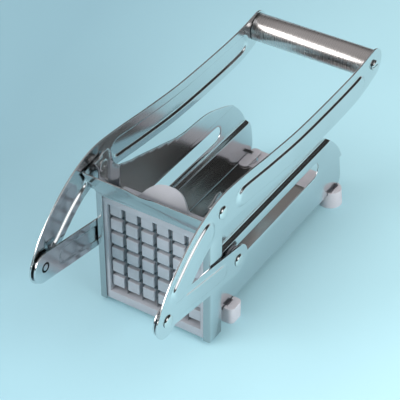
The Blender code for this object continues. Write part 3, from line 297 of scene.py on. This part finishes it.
def pressed_plate(outline, holes, u_values, v_values, height, thickness, rim, place, longest=2.0):
    """A sheet cut to an outline with holes and pressed to a height, as points and faces."""
    loops = []
    for loop, wanted_sign in [(outline, 1)] + [(hole, -1) for hole in holes]:
        loop = denser(list(loop), longest)
        if signed_area(loop) * wanted_sign < 0:
            loop = loop[::-1]
        loops.append(loop)
    closed = [np.array(loop + loop[:1]) for loop in loops]
    grid = np.array([(u, v) for u in u_values for v in v_values])
    keep = inside_loop(grid, loops[0])
    for hole in loops[1:]:
        keep &= ~inside_loop(grid, hole)
    for line in closed:
        keep &= distance_to_line(grid, line) > rim + 0.35
    points = [tuple(p) for p in grid[keep]]
    edges = []
    for loop in loops:
        for inset in (0.0, 0.3 * rim, rim):
            ring = moved_inward(loop, inset) if inset else loop
            first = len(points)
            points += ring
            count = len(ring)
            edges += [(first + i, first + (i + 1) % count) for i in range(count)]
    made = delaunay_2d_cdt([Vector(p) for p in points], edges, [], 1, 1e-5)
    flat = np.array([tuple(v) for v in made[0]])
    triangles = np.array([tuple(f) for f in made[2]])
    middles = flat[triangles].mean(axis=1)
    good = inside_loop(middles, loops[0])
    for hole in loops[1:]:
        good &= ~inside_loop(middles, hole)
    triangles = triangles[good]
    edge = np.min([distance_to_line(flat, line) for line in closed], axis=0)
    drop = rim_drop(edge, rim)
    top = height(flat[:, 0], flat[:, 1])
    vertices = [place(u, v, h) for (u, v), h in zip(flat, top - drop)]
    vertices += [place(u, v, h) for (u, v), h in zip(flat, top - thickness + drop)]
    count = len(flat)
    faces = [tuple(t) for t in triangles] + [tuple(count + i for i in t[::-1]) for t in triangles]
    seen = {}
    for t in triangles:
        for a, b in ((t[0], t[1]), (t[1], t[2]), (t[2], t[0])):
            seen[(a, b)] = True
    for a, b in seen:
        if (b, a) not in seen:
            faces.append((b, a, a + count, b + count))
    return vertices, faces


def turned(profile, centre, steps):
    """A solid of revolution round a line along X, from (radius, x) points, as points and faces."""
    vertices = []
    faces = []
    for radius, x in profile:
        for k in range(steps):
            angle = math.tau * k / steps
            vertices.append((x, centre[0] + radius * math.cos(angle), centre[1] + radius * math.sin(angle)))
    count = len(profile)
    for i in range(count - 1):
        for k in range(steps):
            m = (k + 1) % steps
            faces.append((i * steps + k, i * steps + m, (i + 1) * steps + m, (i + 1) * steps + k))
    if profile[0][0] > 0.02 and profile[-1][0] > 0.02:
        for k in range(steps):
            m = (k + 1) % steps
            faces.append(((count - 1) * steps + k, (count - 1) * steps + m, m, k))
    return vertices, faces


def in_box(place, low, high):
    """Whether a point of the shared frame lies in a box given in millimetres of the source's frame."""
    spot = (place.x / MM, (place.y - ROOT_Y) / MM, place.z / MM)
    return all(a <= value <= b for a, value, b in zip(low, spot, high))


def bend_edges(body, low, high, radius, steps):
    """Rounds the edges whose two ends lie in a box."""
    chosen = [e for e in body.edges if all(in_box(v.co, low, high) for v in e.verts)]
    bmesh.ops.bevel(body, geom=chosen, offset=radius * MM, segments=steps, profile=0.5, affect="EDGES")


def softened(node, name, width, material, segments=2, angle_deg=30.0, shape=None):
    """A copy of a CAD solid with its edges rounded, after a function has changed its shape."""
    mesh = frame["nodes"][node].data.copy()
    mesh.name = name
    body = bmesh.new()
    body.from_mesh(mesh)
    bmesh.ops.remove_doubles(body, verts=body.verts, dist=0.002 * MM)
    bmesh.ops.dissolve_limit(body, angle_limit=math.radians(1.0), verts=body.verts, edges=body.edges)
    if shape:
        shape(body)
    body.to_mesh(mesh)
    body.free()
    drawn = bpy.data.objects.new(name + "_base", mesh)
    bpy.context.scene.collection.objects.link(drawn)
    bevel = drawn.modifiers.new("edges", "BEVEL")
    bevel.width = width * MM
    bevel.segments = segments
    bevel.limit_method = "ANGLE"
    bevel.angle_limit = math.radians(angle_deg)
    bevel.use_clamp_overlap = True
    bevel.harden_normals = False
    bpy.context.view_layer.update()
    made = bpy.data.meshes.new_from_object(drawn.evaluated_get(bpy.context.evaluated_depsgraph_get()))
    bpy.data.objects.remove(drawn)
    made.name = name
    made.materials.clear()
    made.materials.append(material)
    made.shade_smooth()
    made.set_sharp_from_angle(angle=math.radians(50))
    piece = bpy.data.objects.new(name, made)
    bpy.context.scene.collection.objects.link(piece)
    return piece


def pair(name, vertices, faces, material, sharp_deg, body, slot, node):
    """Makes a right piece and its mirrored left one, in place of the two nodes of one name."""
    right = new_piece(name + "_right", vertices, faces, material, sharp_deg)
    left = new_piece(name + "_left", mirrored(vertices), faces, material, sharp_deg)
    seat(right, body, slot, node + "_right")
    seat(left, body, slot, node + "_left")


def seat(piece, body, slot, *nodes):
    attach(piece, body)
    if nodes:
        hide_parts(*nodes)
    return piece


# Materials

def material_with_nodes(name):
    material = bpy.data.materials.new(name)
    material.use_nodes = True
    nodes = material.node_tree.nodes
    shader = nodes["Principled BSDF"]
    return material, nodes, material.node_tree.links, shader


def noise(nodes, links, coordinates, stretch, scale, detail):
    mapping = nodes.new("ShaderNodeMapping")
    mapping.inputs["Scale"].default_value = stretch
    texture = nodes.new("ShaderNodeTexNoise")
    texture.inputs["Scale"].default_value = scale
    texture.inputs["Detail"].default_value = detail
    links.new(coordinates, mapping.inputs["Vector"])
    links.new(mapping.outputs["Vector"], texture.inputs["Vector"])
    return texture.outputs["Fac"]


def ranged(nodes, links, value, source, result=(0.0, 1.0), kind="LINEAR"):
    """Moves a value from one range to another."""
    shift = nodes.new("ShaderNodeMapRange")
    shift.interpolation_type = kind
    for name, level in zip(("From Min", "From Max", "To Min", "To Max"), (*source, *result)):
        shift.inputs[name].default_value = level
    links.new(value, shift.inputs["Value"])
    return shift.outputs["Result"]


def ramped(nodes, links, value, stops):
    """A colour that follows a value from stop to stop, each a position and a colour."""
    ramp = nodes.new("ShaderNodeValToRGB")
    elements = ramp.color_ramp.elements
    elements[0].position, elements[0].color = stops[0][0], (*stops[0][1], 1)
    elements[1].position, elements[1].color = stops[-1][0], (*stops[-1][1], 1)
    for position, colour in stops[1:-1]:
        element = elements.new(position)
        element.color = (*colour, 1)
    links.new(value, ramp.inputs["Fac"])
    return ramp.outputs["Color"]


def dotted(nodes, links, vector, axis):
    """How far a vector reaches along an axis."""
    product = nodes.new("ShaderNodeVectorMath")
    product.operation = "DOT_PRODUCT"
    product.inputs[1].default_value = axis
    links.new(vector, product.inputs[0])
    return product.outputs["Value"]


def bumped(nodes, links, value, strength, distance, shader):
    bump = nodes.new("ShaderNodeBump")
    bump.inputs["Strength"].default_value = strength
    bump.inputs["Distance"].default_value = distance
    links.new(value, bump.inputs["Height"])
    links.new(bump.outputs["Normal"], shader.inputs["Normal"])


# The part of a noise's range that its values mostly fill, for a roughness and for a colour
NOISE_SPAN = (0.25, 0.75)
COLOUR_SPAN = (0.3, 0.7)


def mottled(nodes, links, value, dark, light):
    return ramped(nodes, links, value, ((COLOUR_SPAN[0], dark), (COLOUR_SPAN[1], light)))


def steel(name, dark, light, rough_low, rough_high, stretch, grain=0.03):
    """Polished sheet: a soft mirror with fine streaks along the grain and faint stains."""
    material, nodes, links, shader = material_with_nodes(name)
    place = nodes.new("ShaderNodeTexCoord").outputs["Object"]
    streaks = noise(nodes, links, place, stretch, 2600.0, 2.0)
    stains = noise(nodes, links, place, (1, 1, 1), 24.0, 3.0)
    shader.inputs["Metallic"].default_value = 1.0
    links.new(mottled(nodes, links, stains, dark, light), shader.inputs["Base Color"])
    links.new(ranged(nodes, links, streaks, NOISE_SPAN, (rough_low, rough_high)), shader.inputs["Roughness"])
    bumped(nodes, links, streaks, grain, 0.00001, shader)
    return material


def plastic(name, dark, light, rough_low, rough_high):
    """Moulded plastic: a faint mottle, a satin skin and a fine grain."""
    material, nodes, links, shader = material_with_nodes(name)
    place = nodes.new("ShaderNodeTexCoord").outputs["Object"]
    mottle = noise(nodes, links, place, (1, 1, 1), 120.0, 5.0)
    skin = noise(nodes, links, place, (1, 1, 1), 2600.0, 2.0)
    links.new(mottled(nodes, links, mottle, dark, light), shader.inputs["Base Color"])
    links.new(ranged(nodes, links, mottle, NOISE_SPAN, (rough_low, rough_high)), shader.inputs["Roughness"])
    bumped(nodes, links, skin, 0.12, 0.00003, shader)
    return material


STEEL_DARK = (0.665, 0.685, 0.70)
STEEL_LIGHT = (0.715, 0.735, 0.75)
SHEET_STEEL = steel("sheet_steel", STEEL_DARK, STEEL_LIGHT, 0.15, 0.20, (1, 0.03, 1))
ARM_STEEL = steel("arm_steel", STEEL_DARK, STEEL_LIGHT, 0.14, 0.19, (1, 0.04, 0.4))
FRAME_STEEL = steel("frame_steel", STEEL_DARK, STEEL_LIGHT, 0.16, 0.22, (0.03, 1, 1))
TUBE_STEEL = steel(
    "tube_steel", (0.62, 0.595, 0.59), (0.68, 0.655, 0.65), 0.25, 0.30, (1, 0.03, 0.03), 0.04)
RIVET_STEEL = steel("rivet_steel", (0.70, 0.71, 0.71), (0.78, 0.79, 0.79), 0.12, 0.18, (1, 1, 1))
BLADE_STEEL = steel("blade_steel", (0.50, 0.52, 0.54), (0.58, 0.60, 0.62), 0.14, 0.22, (0.1, 1, 0.1))
FLOOR_STEEL = steel("floor_steel", (0.52, 0.51, 0.50), (0.57, 0.56, 0.55), 0.15, 0.20, (1, 0.03, 1), 0.01)
GRAY_PLASTIC = plastic("gray_plastic", (0.36, 0.38, 0.42), (0.40, 0.42, 0.465), 0.40, 0.50)
PALE_PLASTIC = plastic("pale_plastic", (0.58, 0.56, 0.60), (0.63, 0.61, 0.65), 0.42, 0.52)


def painted_dark_front(material, share):
    """Darkens a steel's colour in front of the body's front face plane: painted shade, standing in for the
    dark reflection that the front faces of the sheet show.
    """
    nodes = material.node_tree.nodes
    links = material.node_tree.links
    split = nodes.new("ShaderNodeSeparateXYZ")
    links.new(nodes["Texture Coordinate"].outputs["Object"], split.inputs["Vector"])
    plane = (ROOT_Y - 0.6 * MM, ROOT_Y + 0.4 * MM)
    tone = nodes.new("ShaderNodeVectorMath")
    tone.operation = "SCALE"
    links.new(nodes["Color Ramp"].outputs["Color"], tone.inputs["Vector"])
    links.new(ranged(nodes, links, split.outputs["Y"], plane, (share, 1.0)), tone.inputs["Scale"])
    links.new(tone.outputs["Vector"], nodes["Principled BSDF"].inputs["Base Color"])


# Painted shade: the front strips' colour is darkened to two thirds, for their dark reflection.
painted_dark_front(FRAME_STEEL, 0.66)

MATERIAL_OF_SLOT = {
    "polished_steel": SHEET_STEEL,
    "blade_steel": BLADE_STEEL,
    "rivet_steel": RIVET_STEEL,
    "gray_plastic": GRAY_PLASTIC,
    "pale_plastic": PALE_PLASTIC,
}
for row in frame["record"]["subparts"]:
    solid = frame["nodes"][row["node"]]
    for slot in solid.material_slots:
        slot.material = MATERIAL_OF_SLOT[row["material_slot"]]


# Lever arms and links

def arm_path():
    rear_reach = HANDLE[0] - PIVOT[0]
    front_reach = PIVOT[0] - PIN[0]
    front_drop = PIVOT[1] - PIN[1]
    rear = [
        (PIVOT[0] + u * rear_reach, PIVOT[1] - v * rear_reach)
        for u, v in ((0.852, 0.042), (0.512, 0.044), (0.291, 0.027), (0.121, 0.007))]
    front = [
        (PIVOT[0] - u * front_reach, PIVOT[1] - v * front_drop)
        for u, v in ((0.256, 0.092), (0.466, 0.248), (0.676, 0.477), (0.853, 0.706))]
    return smooth([HANDLE, *rear, PIVOT, *front, PIN], 8)


def part_of(path, start, end, steps):
    return points_at(path, np.linspace(start, end, steps))[0]


def lever_arms():
    path = arm_path()
    along = lengths_along(path)
    pivot_along = along[np.argmin(np.linalg.norm(path - np.array(PIVOT), axis=1))]
    rear_core = part_of(path, 22.0, pivot_along - 24.0, 40) + np.array((0.0, -0.8))
    front_core = part_of(path, pivot_along + 19.0, along[-1] - 19.5, 16)
    forms = (
        (rear_core, 7.8, ARM_EMBOSS_FLANK, ARM_EMBOSS),
        (front_core, 8.5, ARM_EMBOSS_FLANK, ARM_EMBOSS))
    vertices, faces = pressed_strip(
        path, ARM_HALF_WIDTH, ARM_END_HALF_WIDTH, ARM_INNER_X, ARM_OUTER_X, forms, RIM)
    pair("arm", vertices, faces, ARM_STEEL, 60, "lever", "polished_steel", "lever_arm")


def links():
    path = np.array([PIN, AXLE])
    path = np.array([path[0] + (path[1] - path[0]) * k / 20 for k in range(21)])
    length = lengths_along(path)[-1]
    core = part_of(path, 21.0, length - 21.0, 6)
    forms = ((core, 6.5, 1.5, 0.8),)
    vertices, faces = pressed_strip(
        path, LINK_HALF_WIDTH, LINK_HALF_WIDTH, LINK_INNER_X, LINK_OUTER_X, forms, RIM)
    pair("link_bar", vertices, faces, ARM_STEEL, 60, "links", "polished_steel", "link")


# Side plates and floor

def side_outline():
    """A side plate seen from the right, from its front foot round over the ear and the sloping top."""
    ear = [
        (PIVOT[0] + u * EAR_RADIUS, PIVOT[1] + v * EAR_RADIUS)
        for u, v in (
            (-0.49, -0.81), (-0.51, 0.05), (-0.84, 0.57), (-0.83, 0.67), (-0.40, 0.70), (-0.16, 0.82),
            (0.04, 0.97), (0.30, 1.00), (0.56, 0.93), (0.72, 0.70), (0.78, 0.10))]
    shares = (
        (0.085, 1.000), (0.156, 0.953), (0.217, 0.925), (0.350, 0.858), (0.483, 0.796), (0.652, 0.773),
        (0.770, 0.709), (0.844, 0.647), (0.899, 0.562), (0.937, 0.482), (0.967, 0.392), (0.986, 0.320),
        (1.000, 0.190))
    top = [tuple(p) for p in smooth([(u * BODY_LENGTH, v * PLATE_TOP_Z) for u, v in shares], 5)]
    return [
        (0.3, PLATE_BOTTOM_Z), (0.3, 93.0), *ear, *top,
        (BODY_LENGTH, 15.2), (BODY_LENGTH - 0.8, 13.0), (BODY_LENGTH - 2.7, PLATE_BOTTOM_Z)]


def slot_outline():
    """The long slot with round ends."""
    steps = 14
    outline = []
    for centre_y, first in ((SLOT_REAR_Y, -math.pi / 2), (SLOT_FRONT_Y, math.pi / 2)):
        for k in range(steps + 1):
            angle = first + math.pi * k / steps
            outline.append((
                centre_y + SLOT_RADIUS * math.cos(angle), AXLE[1] + SLOT_RADIUS * math.sin(angle)))
    return outline


def side_surface(y, z):
    """Distance of a side plate's outer face from the middle plane."""
    band = ease((z - BAND_LOW_Z) / BAND_FLANK) * (1 - ease((z - BAND_HIGH_Z) / BAND_FLANK))
    rear = PLATE_OUTER_X + (BAND_OUTER_X - PLATE_OUTER_X) * band
    share = ease((y - JOG_Y) / JOG_LENGTH)
    return EAR_OUTER_X + (rear - EAR_OUTER_X) * share


def side_plates():
    v_values = sorted(set(
        list(np.arange(11.5, 38.0, 3.0)) + list(np.linspace(38.2, 41.5, 12))
        + list(np.arange(43.0, 64.0, 3.0)) + list(np.linspace(64.6, 67.9, 12))
        + list(np.arange(70.0, 121.0, 3.0))))
    u_values = sorted(set(
        list(np.arange(-3.0, 13.0, 2.0)) + list(np.linspace(13.3, 18.1, 14))
        + list(np.arange(20.0, 188.0, 2.5))))
    vertices, faces = pressed_plate(
        side_outline(), [slot_outline()], u_values, v_values, side_surface, SHEET, 0.22,
        lambda u, v, h: (h, u, v))
    # The small tab that is bent inward over the rear foot
    root, tip, front, rear, low = PLATE_OUTER_X - 0.4, 32.7, 178.7, 182.2, 12.8
    tab = [(root, front, low), (root, rear, low), (tip, rear, low), (tip, front, low)]
    first = len(vertices)
    vertices += tab + [(x, y, z + SHEET) for x, y, z in tab]
    faces += [tuple(first + i for i in face) for face in (
        (3, 2, 1, 0), (4, 5, 6, 7), (0, 1, 5, 4), (1, 2, 6, 5), (2, 3, 7, 6), (3, 0, 4, 7))]
    pair("side_wall", vertices, faces, SHEET_STEEL, 50, "body", "polished_steel", "side_plate")


def floor_surface(x, y):
    """The floor with two faint stiffening beads along it."""
    top = np.full(np.shape(x), FLOOR_TOP_Z)
    for centre in (-BEAD_X, BEAD_X):
        bead = BEAD_HEIGHT * (1 - ease((np.abs(x - centre) - 0.4) / 1.6))
        ends = ease((y - BEAD_FRONT_Y) / BEAD_RUN_OUT) * (1 - ease((y - BEAD_REAR_Y) / BEAD_RUN_OUT))
        top = top + bead * ends
    return top


def floor_pan():
    side = FLOOR_HALF_WIDTH
    outline = [(-side, JOG_Y), (side, JOG_Y), (side, FLOOR_REAR_Y), (-side, FLOOR_REAR_Y)]
    u_values = sorted(set(
        list(np.arange(-35.0, 36.0, 3.5)) + list(np.linspace(-26.4, -21.6, 13))
        + list(np.linspace(21.6, 26.4, 13))))
    v_values = sorted(set(
        list(np.arange(15.5, 167.0, 4.0))
        + list(np.linspace(BEAD_FRONT_Y, BEAD_FRONT_Y + BEAD_RUN_OUT, 6))
        + list(np.linspace(BEAD_REAR_Y, BEAD_REAR_Y + BEAD_RUN_OUT, 6))))
    vertices, faces = pressed_plate(
        outline, [], u_values, v_values, floor_surface, SHEET, RIM, lambda u, v, h: (u, v, h), 4.0)
    seat(new_piece("floor_pan", vertices, faces, FLOOR_STEEL, 50), "body", "polished_steel", "floor_plate")


# Handle and rivets

def both_sides(name, profile, centre, material, body, slot, node, steps=40):
    """A turned piece on each side, in place of the two nodes of one name."""
    vertices, faces = turned(profile, centre, steps)
    pair(name, vertices, faces, material, 40, body, slot, node)


def handle():
    reach = ARM_INNER_X - 0.3
    outer = HANDLE_RADIUS
    profile = [
        (HANDLE_BORE, reach), (outer - 0.5, reach), (outer - 0.15, reach - 0.12), (outer, reach - 0.45),
        (outer, -reach + 0.45), (outer - 0.15, -reach + 0.12), (outer - 0.5, -reach), (HANDLE_BORE, -reach)]
    vertices, faces = turned(profile, HANDLE, 96)
    seat(new_piece("grip_tube", vertices, faces, TUBE_STEEL, 40), "lever", "polished_steel", "handle_tube")


def dome(head_x, dimple, steps=10):
    """A rivet's flat domed head, with a dimple of the given depth, from the centre to the rim."""
    points = []
    for k in range(steps + 1):
        share = k / steps
        rise = RIVET_HEAD * math.sqrt(max(0.0, 1 - share ** 3.2))
        dip = dimple * max(0.0, 1 - (share / 0.42) ** 2) if share < 0.42 else 0.0
        points.append((max(RIVET_HEAD_RADIUS * share, 0.01), head_x + rise - dip))
    points.append((RIVET_HEAD_RADIUS, head_x))
    return points


def rivets():
    arm_seat = ARM_RIVET_SEAT_X
    link_seat = LINK_RIVET_SEAT_X
    pivot = [
        *dome(arm_seat, 0.0), (RIVET_RADIUS, arm_seat), (RIVET_RADIUS, 41.8), (RIVET_HEAD_RADIUS, 41.6),
        (4.3, 41.3), (3.6, 40.95), (2.3, 41.0), (2.0, 42.2), (0.01, 42.6)]
    pin = [
        *dome(arm_seat, 0.0), (RIVET_RADIUS, arm_seat), (RIVET_RADIUS, 44.5), (3.7, 43.8), (2.2, 43.8),
        (2.0, 44.6), (0.01, 45.2)]
    axle = [*dome(link_seat, 0.35), (RIVET_RADIUS, link_seat), (RIVET_RADIUS, 43.9), (0.01, 43.9)]
    both_sides("pivot_pin", pivot, PIVOT, RIVET_STEEL, "body", "rivet_steel", "pivot_rivet")
    both_sides("front_pin", pin, PIN, RIVET_STEEL, "lever", "rivet_steel", "pin_rivet")
    both_sides("axle_pin", axle, AXLE, RIVET_STEEL, "links", "rivet_steel", "link_rivet")


# Body pieces with softened edges

def box_edges(body, middle, size):
    """Adds a box to a mesh and returns its edges."""
    made = bmesh.ops.create_cube(
        body, size=1.0, matrix=Matrix.Translation(middle) @ Matrix.Diagonal((*size, 1)))
    return list({e for v in made["verts"] for e in v.link_edges})


def fingers():
    """The finger block: rounded square fingers on a plate."""
    body = bmesh.new()
    for column in range(6):
        for row in range(6):
            x = PITCH * (column - 2.5)
            z = GRID_MIDDLE_Z + PITCH * (row - 2.5)
            edges = box_edges(body, (x, FINGER_MIDDLE_Y, z), FINGER)
            front = [e for e in edges if sum(v.co.y for v in e.verts) / 2 < 12.0]
            bmesh.ops.bevel(body, geom=front, offset=0.55, segments=3, profile=0.6, affect="EDGES")
    edges = box_edges(body, FINGER_PLATE_MIDDLE, FINGER_PLATE)
    uprights = [e for e in edges if abs(e.verts[0].co.y - e.verts[1].co.y) > 1.0]
    bmesh.ops.bevel(body, geom=uprights, offset=3.0, segments=6, profile=0.5, affect="EDGES")
    vertices = [tuple(v.co) for v in body.verts]
    body.verts.index_update()
    faces = [tuple(v.index for v in f.verts) for f in body.faces]
    body.free()
    seat(new_piece("finger_block", vertices, faces, GRAY_PLASTIC, 35),
         "pusher", "gray_plastic", "pusher_block")


def ground_blade(name, outline, front, swap_axes, across):
    """A thin strip with a ground edge, from its flat outline in (run, depth).

    The outline runs anticlockwise. Its sides at EDGE_FOOT carry the ground edge.
    """
    half = BLADE_HALF
    tip = BLADE_TIP_HALF
    count = len(outline)
    points = [(run, y, half) for run, y in outline] + [(run, y, -half) for run, y in outline]
    faces = [tuple(range(count)), tuple(range(2 * count - 1, count - 1, -1))]
    for i in range(count):
        k = (i + 1) % count
        a, b = outline[i], outline[k]
        if a[1] == b[1] == EDGE_FOOT:
            first = len(points)
            points += [(a[0], front, tip), (b[0], front, tip), (b[0], front, -tip), (a[0], front, -tip)]
            faces += [
                (i, first, first + 1, k), (k + count, first + 2, first + 3, i + count),
                (first, first + 3, first + 2, first + 1), (i, i + count, first + 3, first),
                (k, first + 1, first + 2, k + count)]
        else:
            faces.append((i, i + count, k + count, k))
    if swap_axes:
        vertices = [(across + t, y, run) for run, y, t in points]
    else:
        vertices = [(run, y, across + t) for run, y, t in points]
    return new_piece(name, vertices, faces, BLADE_STEEL, 10)


def blades():
    """Strips half lapped at each crossing, the uprights from the rear and the level ones from the front."""
    lines = [PITCH * (i - 2) for i in range(5)]
    middle = 9.25
    rear = 12.0
    seat_front = 6.5
    notch = 0.6
    low, high = 10.7, 84.9
    upright = [(low - 1.5, seat_front), (low, seat_front), (low, EDGE_FOOT), (high, EDGE_FOOT),
               (high, seat_front), (high + 1.5, seat_front), (high + 1.5, rear)]
    for line in reversed(lines):
        z = GRID_MIDDLE_Z + line
        upright += [(z + notch, rear), (z + notch, middle), (z - notch, middle), (z - notch, rear)]
    upright.append((low - 1.5, rear))
    reach = 35.6
    level = [(-reach - 1.5, seat_front), (-reach, seat_front), (-reach, EDGE_FOOT)]
    for line in lines:
        level += [(line - notch, EDGE_FOOT), (line - notch, middle),
                  (line + notch, middle), (line + notch, EDGE_FOOT)]
    level += [(reach, EDGE_FOOT), (reach, seat_front), (reach + 1.5, seat_front), (reach + 1.5, rear),
              (-reach - 1.5, rear)]
    for i, line in enumerate(lines):
        number = str(i + 1)
        seat(ground_blade("ground_upright_" + number, upright, 3.2, True, line),
             "body", "blade_steel", "blade_upright_" + number)
        seat(ground_blade("ground_level_" + number, level, 3.4, False, GRID_MIDDLE_Z + line),
             "body", "blade_steel", "blade_level_" + number)


def sheet_bends(body):
    """Bend radii where the front strips turn into their side flanges and into the lip."""
    for x in (-43.5, 43.5):
        bend_edges(body, (x - 0.05, -0.85, 3.0), (x + 0.05, -0.75, 93.1), 1.1, 6)
    bend_edges(body, (-38.4, -0.8, 92.9), (38.4, -0.7, 93.1), 0.9, 5)


def curved_tab(body):
    """Stands the root of the thumb tab upright and leans its top further back, to the same tip."""
    root = HOLDER_TOP + 0.02
    height = TAB_HEIGHT
    for k in range(1, 16):
        geometry = body.verts[:] + body.edges[:] + body.faces[:]
        level = (root + height * k / 16) * MM
        bmesh.ops.bisect_plane(body, geom=geometry, dist=1e-7, plane_co=(0, 0, level), plane_no=(0, 0, 1))
    for vertex in body.verts:
        share = (vertex.co.z / MM - root) / height
        if 0.0 < share < 1.0:
            rise = ease(share / 0.36) if share < 0.36 else ease((1.0 - share) / 0.64) ** 0.8
            vertex.co.y -= TAB_BOW * MM * rise


def softened_pieces():
    seat(softened("front_frame", "front_sheet", 0.22, FRAME_STEEL, shape=sheet_bends),
         "body", "polished_steel", "front_frame")
    seat(softened("blade_frame", "grid_holder", 0.35, GRAY_PLASTIC, shape=curved_tab),
         "body", "gray_plastic", "blade_frame")
    for side in ("right", "left"):
        seat(softened("front_foot_" + side, "foot_front_" + side, 0.45, PALE_PLASTIC, 3),
             "body", "pale_plastic", "front_foot_" + side)
        seat(softened("rear_foot_" + side, "foot_rear_" + side, 0.45, PALE_PLASTIC, 3),
             "body", "pale_plastic", "rear_foot_" + side)
        seat(softened("handle_screw_" + side, "grip_screw_" + side, 0.2, RIVET_STEEL),
             "lever", "rivet_steel", "handle_screw_" + side)
    seat(softened("rear_bridge", "bridge_strip", 0.3, PALE_PLASTIC),
         "body", "pale_plastic", "rear_bridge")


lever_arms()
links()
side_plates()
floor_pan()
handle()
rivets()
fingers()
blades()
softened_pieces()


# Stage, light and camera

def table():
    """A pale blue table that is lighter towards the right as the camera sees it; its darker left side is
    painted shade.
    """
    mesh = bpy.data.meshes.new("table_top")
    half = 12.0
    corners = [(-half, -half, 0), (half, -half, 0), (half, half, 0), (-half, half, 0)]
    mesh.from_pydata(corners, [], [(0, 1, 2, 3)])
    material, nodes, links, shader = material_with_nodes("pale_blue_table")
    place = nodes.new("ShaderNodeTexCoord").outputs["Object"]
    # Painted shade: the colour darkens towards the left and lightens towards the right.
    across = ranged(nodes, links, dotted(nodes, links, place, (1.03, 0.24, 0.0)), (-0.22, 0.23))
    tone = ramped(nodes, links, across, ((0.0, (0.29, 0.50, 0.59)), (1.0, (0.54, 0.86, 0.94))))
    links.new(tone, shader.inputs["Base Color"])
    shader.inputs["Roughness"].default_value = 0.75
    mesh.materials.append(material)
    top = bpy.data.objects.new("table_top", mesh)
    bpy.context.scene.collection.objects.link(top)


def soft_lamp(name, place, aim, width, height, power, colour, glossy):
    data = bpy.data.lights.new(name, "AREA")
    data.shape = "RECTANGLE"
    data.size = width
    data.size_y = height
    data.energy = power
    data.color = colour
    lamp = bpy.data.objects.new(name, data)
    lamp.location = place
    lamp.rotation_euler = (Vector(aim) - Vector(place)).to_track_quat("-Z", "Y").to_euler()
    lamp.visible_glossy = glossy
    bpy.context.scene.collection.objects.link(lamp)


def blended(nodes, links, factor, first, second):
    """A mix of a linked colour with a second one, linked or plain."""
    mix = nodes.new("ShaderNodeMix")
    mix.data_type = "RGBA"
    links.new(factor, mix.inputs["Factor"])
    links.new(first, mix.inputs[6])
    if isinstance(second, tuple):
        mix.inputs[7].default_value = (*second, 1)
    else:
        links.new(second, mix.inputs[7])
    return mix.outputs[2]


def panel(nodes, links, direction, below, towards, half_angle, edge, level):
    """Adds a round light panel of the room, seen in one direction, to the colour below it."""
    facing = dotted(nodes, links, direction, Vector(towards).normalized())
    rim = (math.cos(math.radians(half_angle + edge)), math.cos(math.radians(half_angle)))
    fade = ranged(nodes, links, facing, rim, kind="SMOOTHSTEP")
    return blended(nodes, links, fade, below, (level, level, level))


def room():
    """The room as the camera and the metal see it.

    It is dark, most so on the right, and gray overhead, with a pale band behind the table and a soft panel
    on the right.
    """
    world = bpy.data.worlds.new("room")
    bpy.context.scene.world = world
    world.use_nodes = True
    nodes = world.node_tree.nodes
    links = world.node_tree.links
    direction = nodes.new("ShaderNodeTexCoord").outputs["Generated"]
    split = nodes.new("ShaderNodeSeparateXYZ")
    links.new(direction, split.inputs["Vector"])
    left = ramped(nodes, links, split.outputs["Z"], (
        (0.0, (0.09, 0.09, 0.09)), (0.20, (0.10, 0.10, 0.10)), (0.42, (0.13, 0.128, 0.126)),
        (0.62, (0.27, 0.262, 0.26)), (0.80, (0.42, 0.41, 0.41)), (1.0, (0.42, 0.41, 0.41))))
    right = ramped(nodes, links, split.outputs["Z"], (
        (0.0, (0.06, 0.06, 0.06)), (0.20, (0.05, 0.048, 0.046)), (0.45, (0.03, 0.029, 0.028)),
        (0.70, (0.04, 0.039, 0.038)), (0.88, (0.34, 0.335, 0.33)), (1.0, (0.42, 0.41, 0.41))))
    side = ranged(nodes, links, split.outputs["X"], (-0.2, 0.2), kind="SMOOTHSTEP")
    sky = blended(nodes, links, side, left, right)
    low = ranged(nodes, links, split.outputs["Z"], (0.16, 0.08), kind="SMOOTHSTEP")
    behind = ranged(nodes, links, split.outputs["Y"], (-0.2, 0.3), kind="SMOOTHSTEP")
    band = nodes.new("ShaderNodeMath")
    band.operation = "MULTIPLY"
    links.new(low, band.inputs[0])
    links.new(behind, band.inputs[1])
    seen = blended(nodes, links, band.outputs["Value"], sky, (0.80, 0.84, 0.87))
    seen = panel(nodes, links, direction, seen, (0.86, -0.10, 0.46), 12.0, 8.0, 1.6)
    links.new(seen, nodes["Background"].inputs["Color"])


def camera():
    azimuth = math.radians(32.47)
    elevation = math.radians(38.48)
    level = math.cos(elevation)
    back = Vector((math.sin(azimuth) * level, -math.cos(azimuth) * level, math.sin(elevation)))
    target = Vector((-0.0069, 0.0665 + ROOT_Y, 0.0559))
    data = bpy.data.cameras.new("photo_camera")
    data.lens = 136.37
    data.sensor_width = 36.0
    data.sensor_fit = "HORIZONTAL"
    data.clip_end = 60.0
    eye = bpy.data.objects.new("photo_camera", data)
    eye.location = target + back * 1.0195
    eye.rotation_euler = (-back).to_track_quat("-Z", "Y").to_euler()
    bpy.context.scene.collection.objects.link(eye)
    bpy.context.scene.camera = eye


table()
room()
soft_lamp("front_softbox", (-0.80, -1.38, 0.95), (0, 0, 0.05), 1.8, 0.8, 28.0, (1.0, 0.985, 0.97), True)
soft_lamp("right_softbox", (1.35, -0.30, 0.75), (0, 0, 0.05), 1.0, 0.8, 15.0, (1.0, 0.99, 0.98), False)
soft_lamp("top_softbox", (0.1, 0.1, 1.7), (0, 0, 0), 2.4, 2.4, 16.0, (1.0, 1.0, 1.0), False)
camera()
bpy.context.scene.view_settings.view_transform = "Standard"
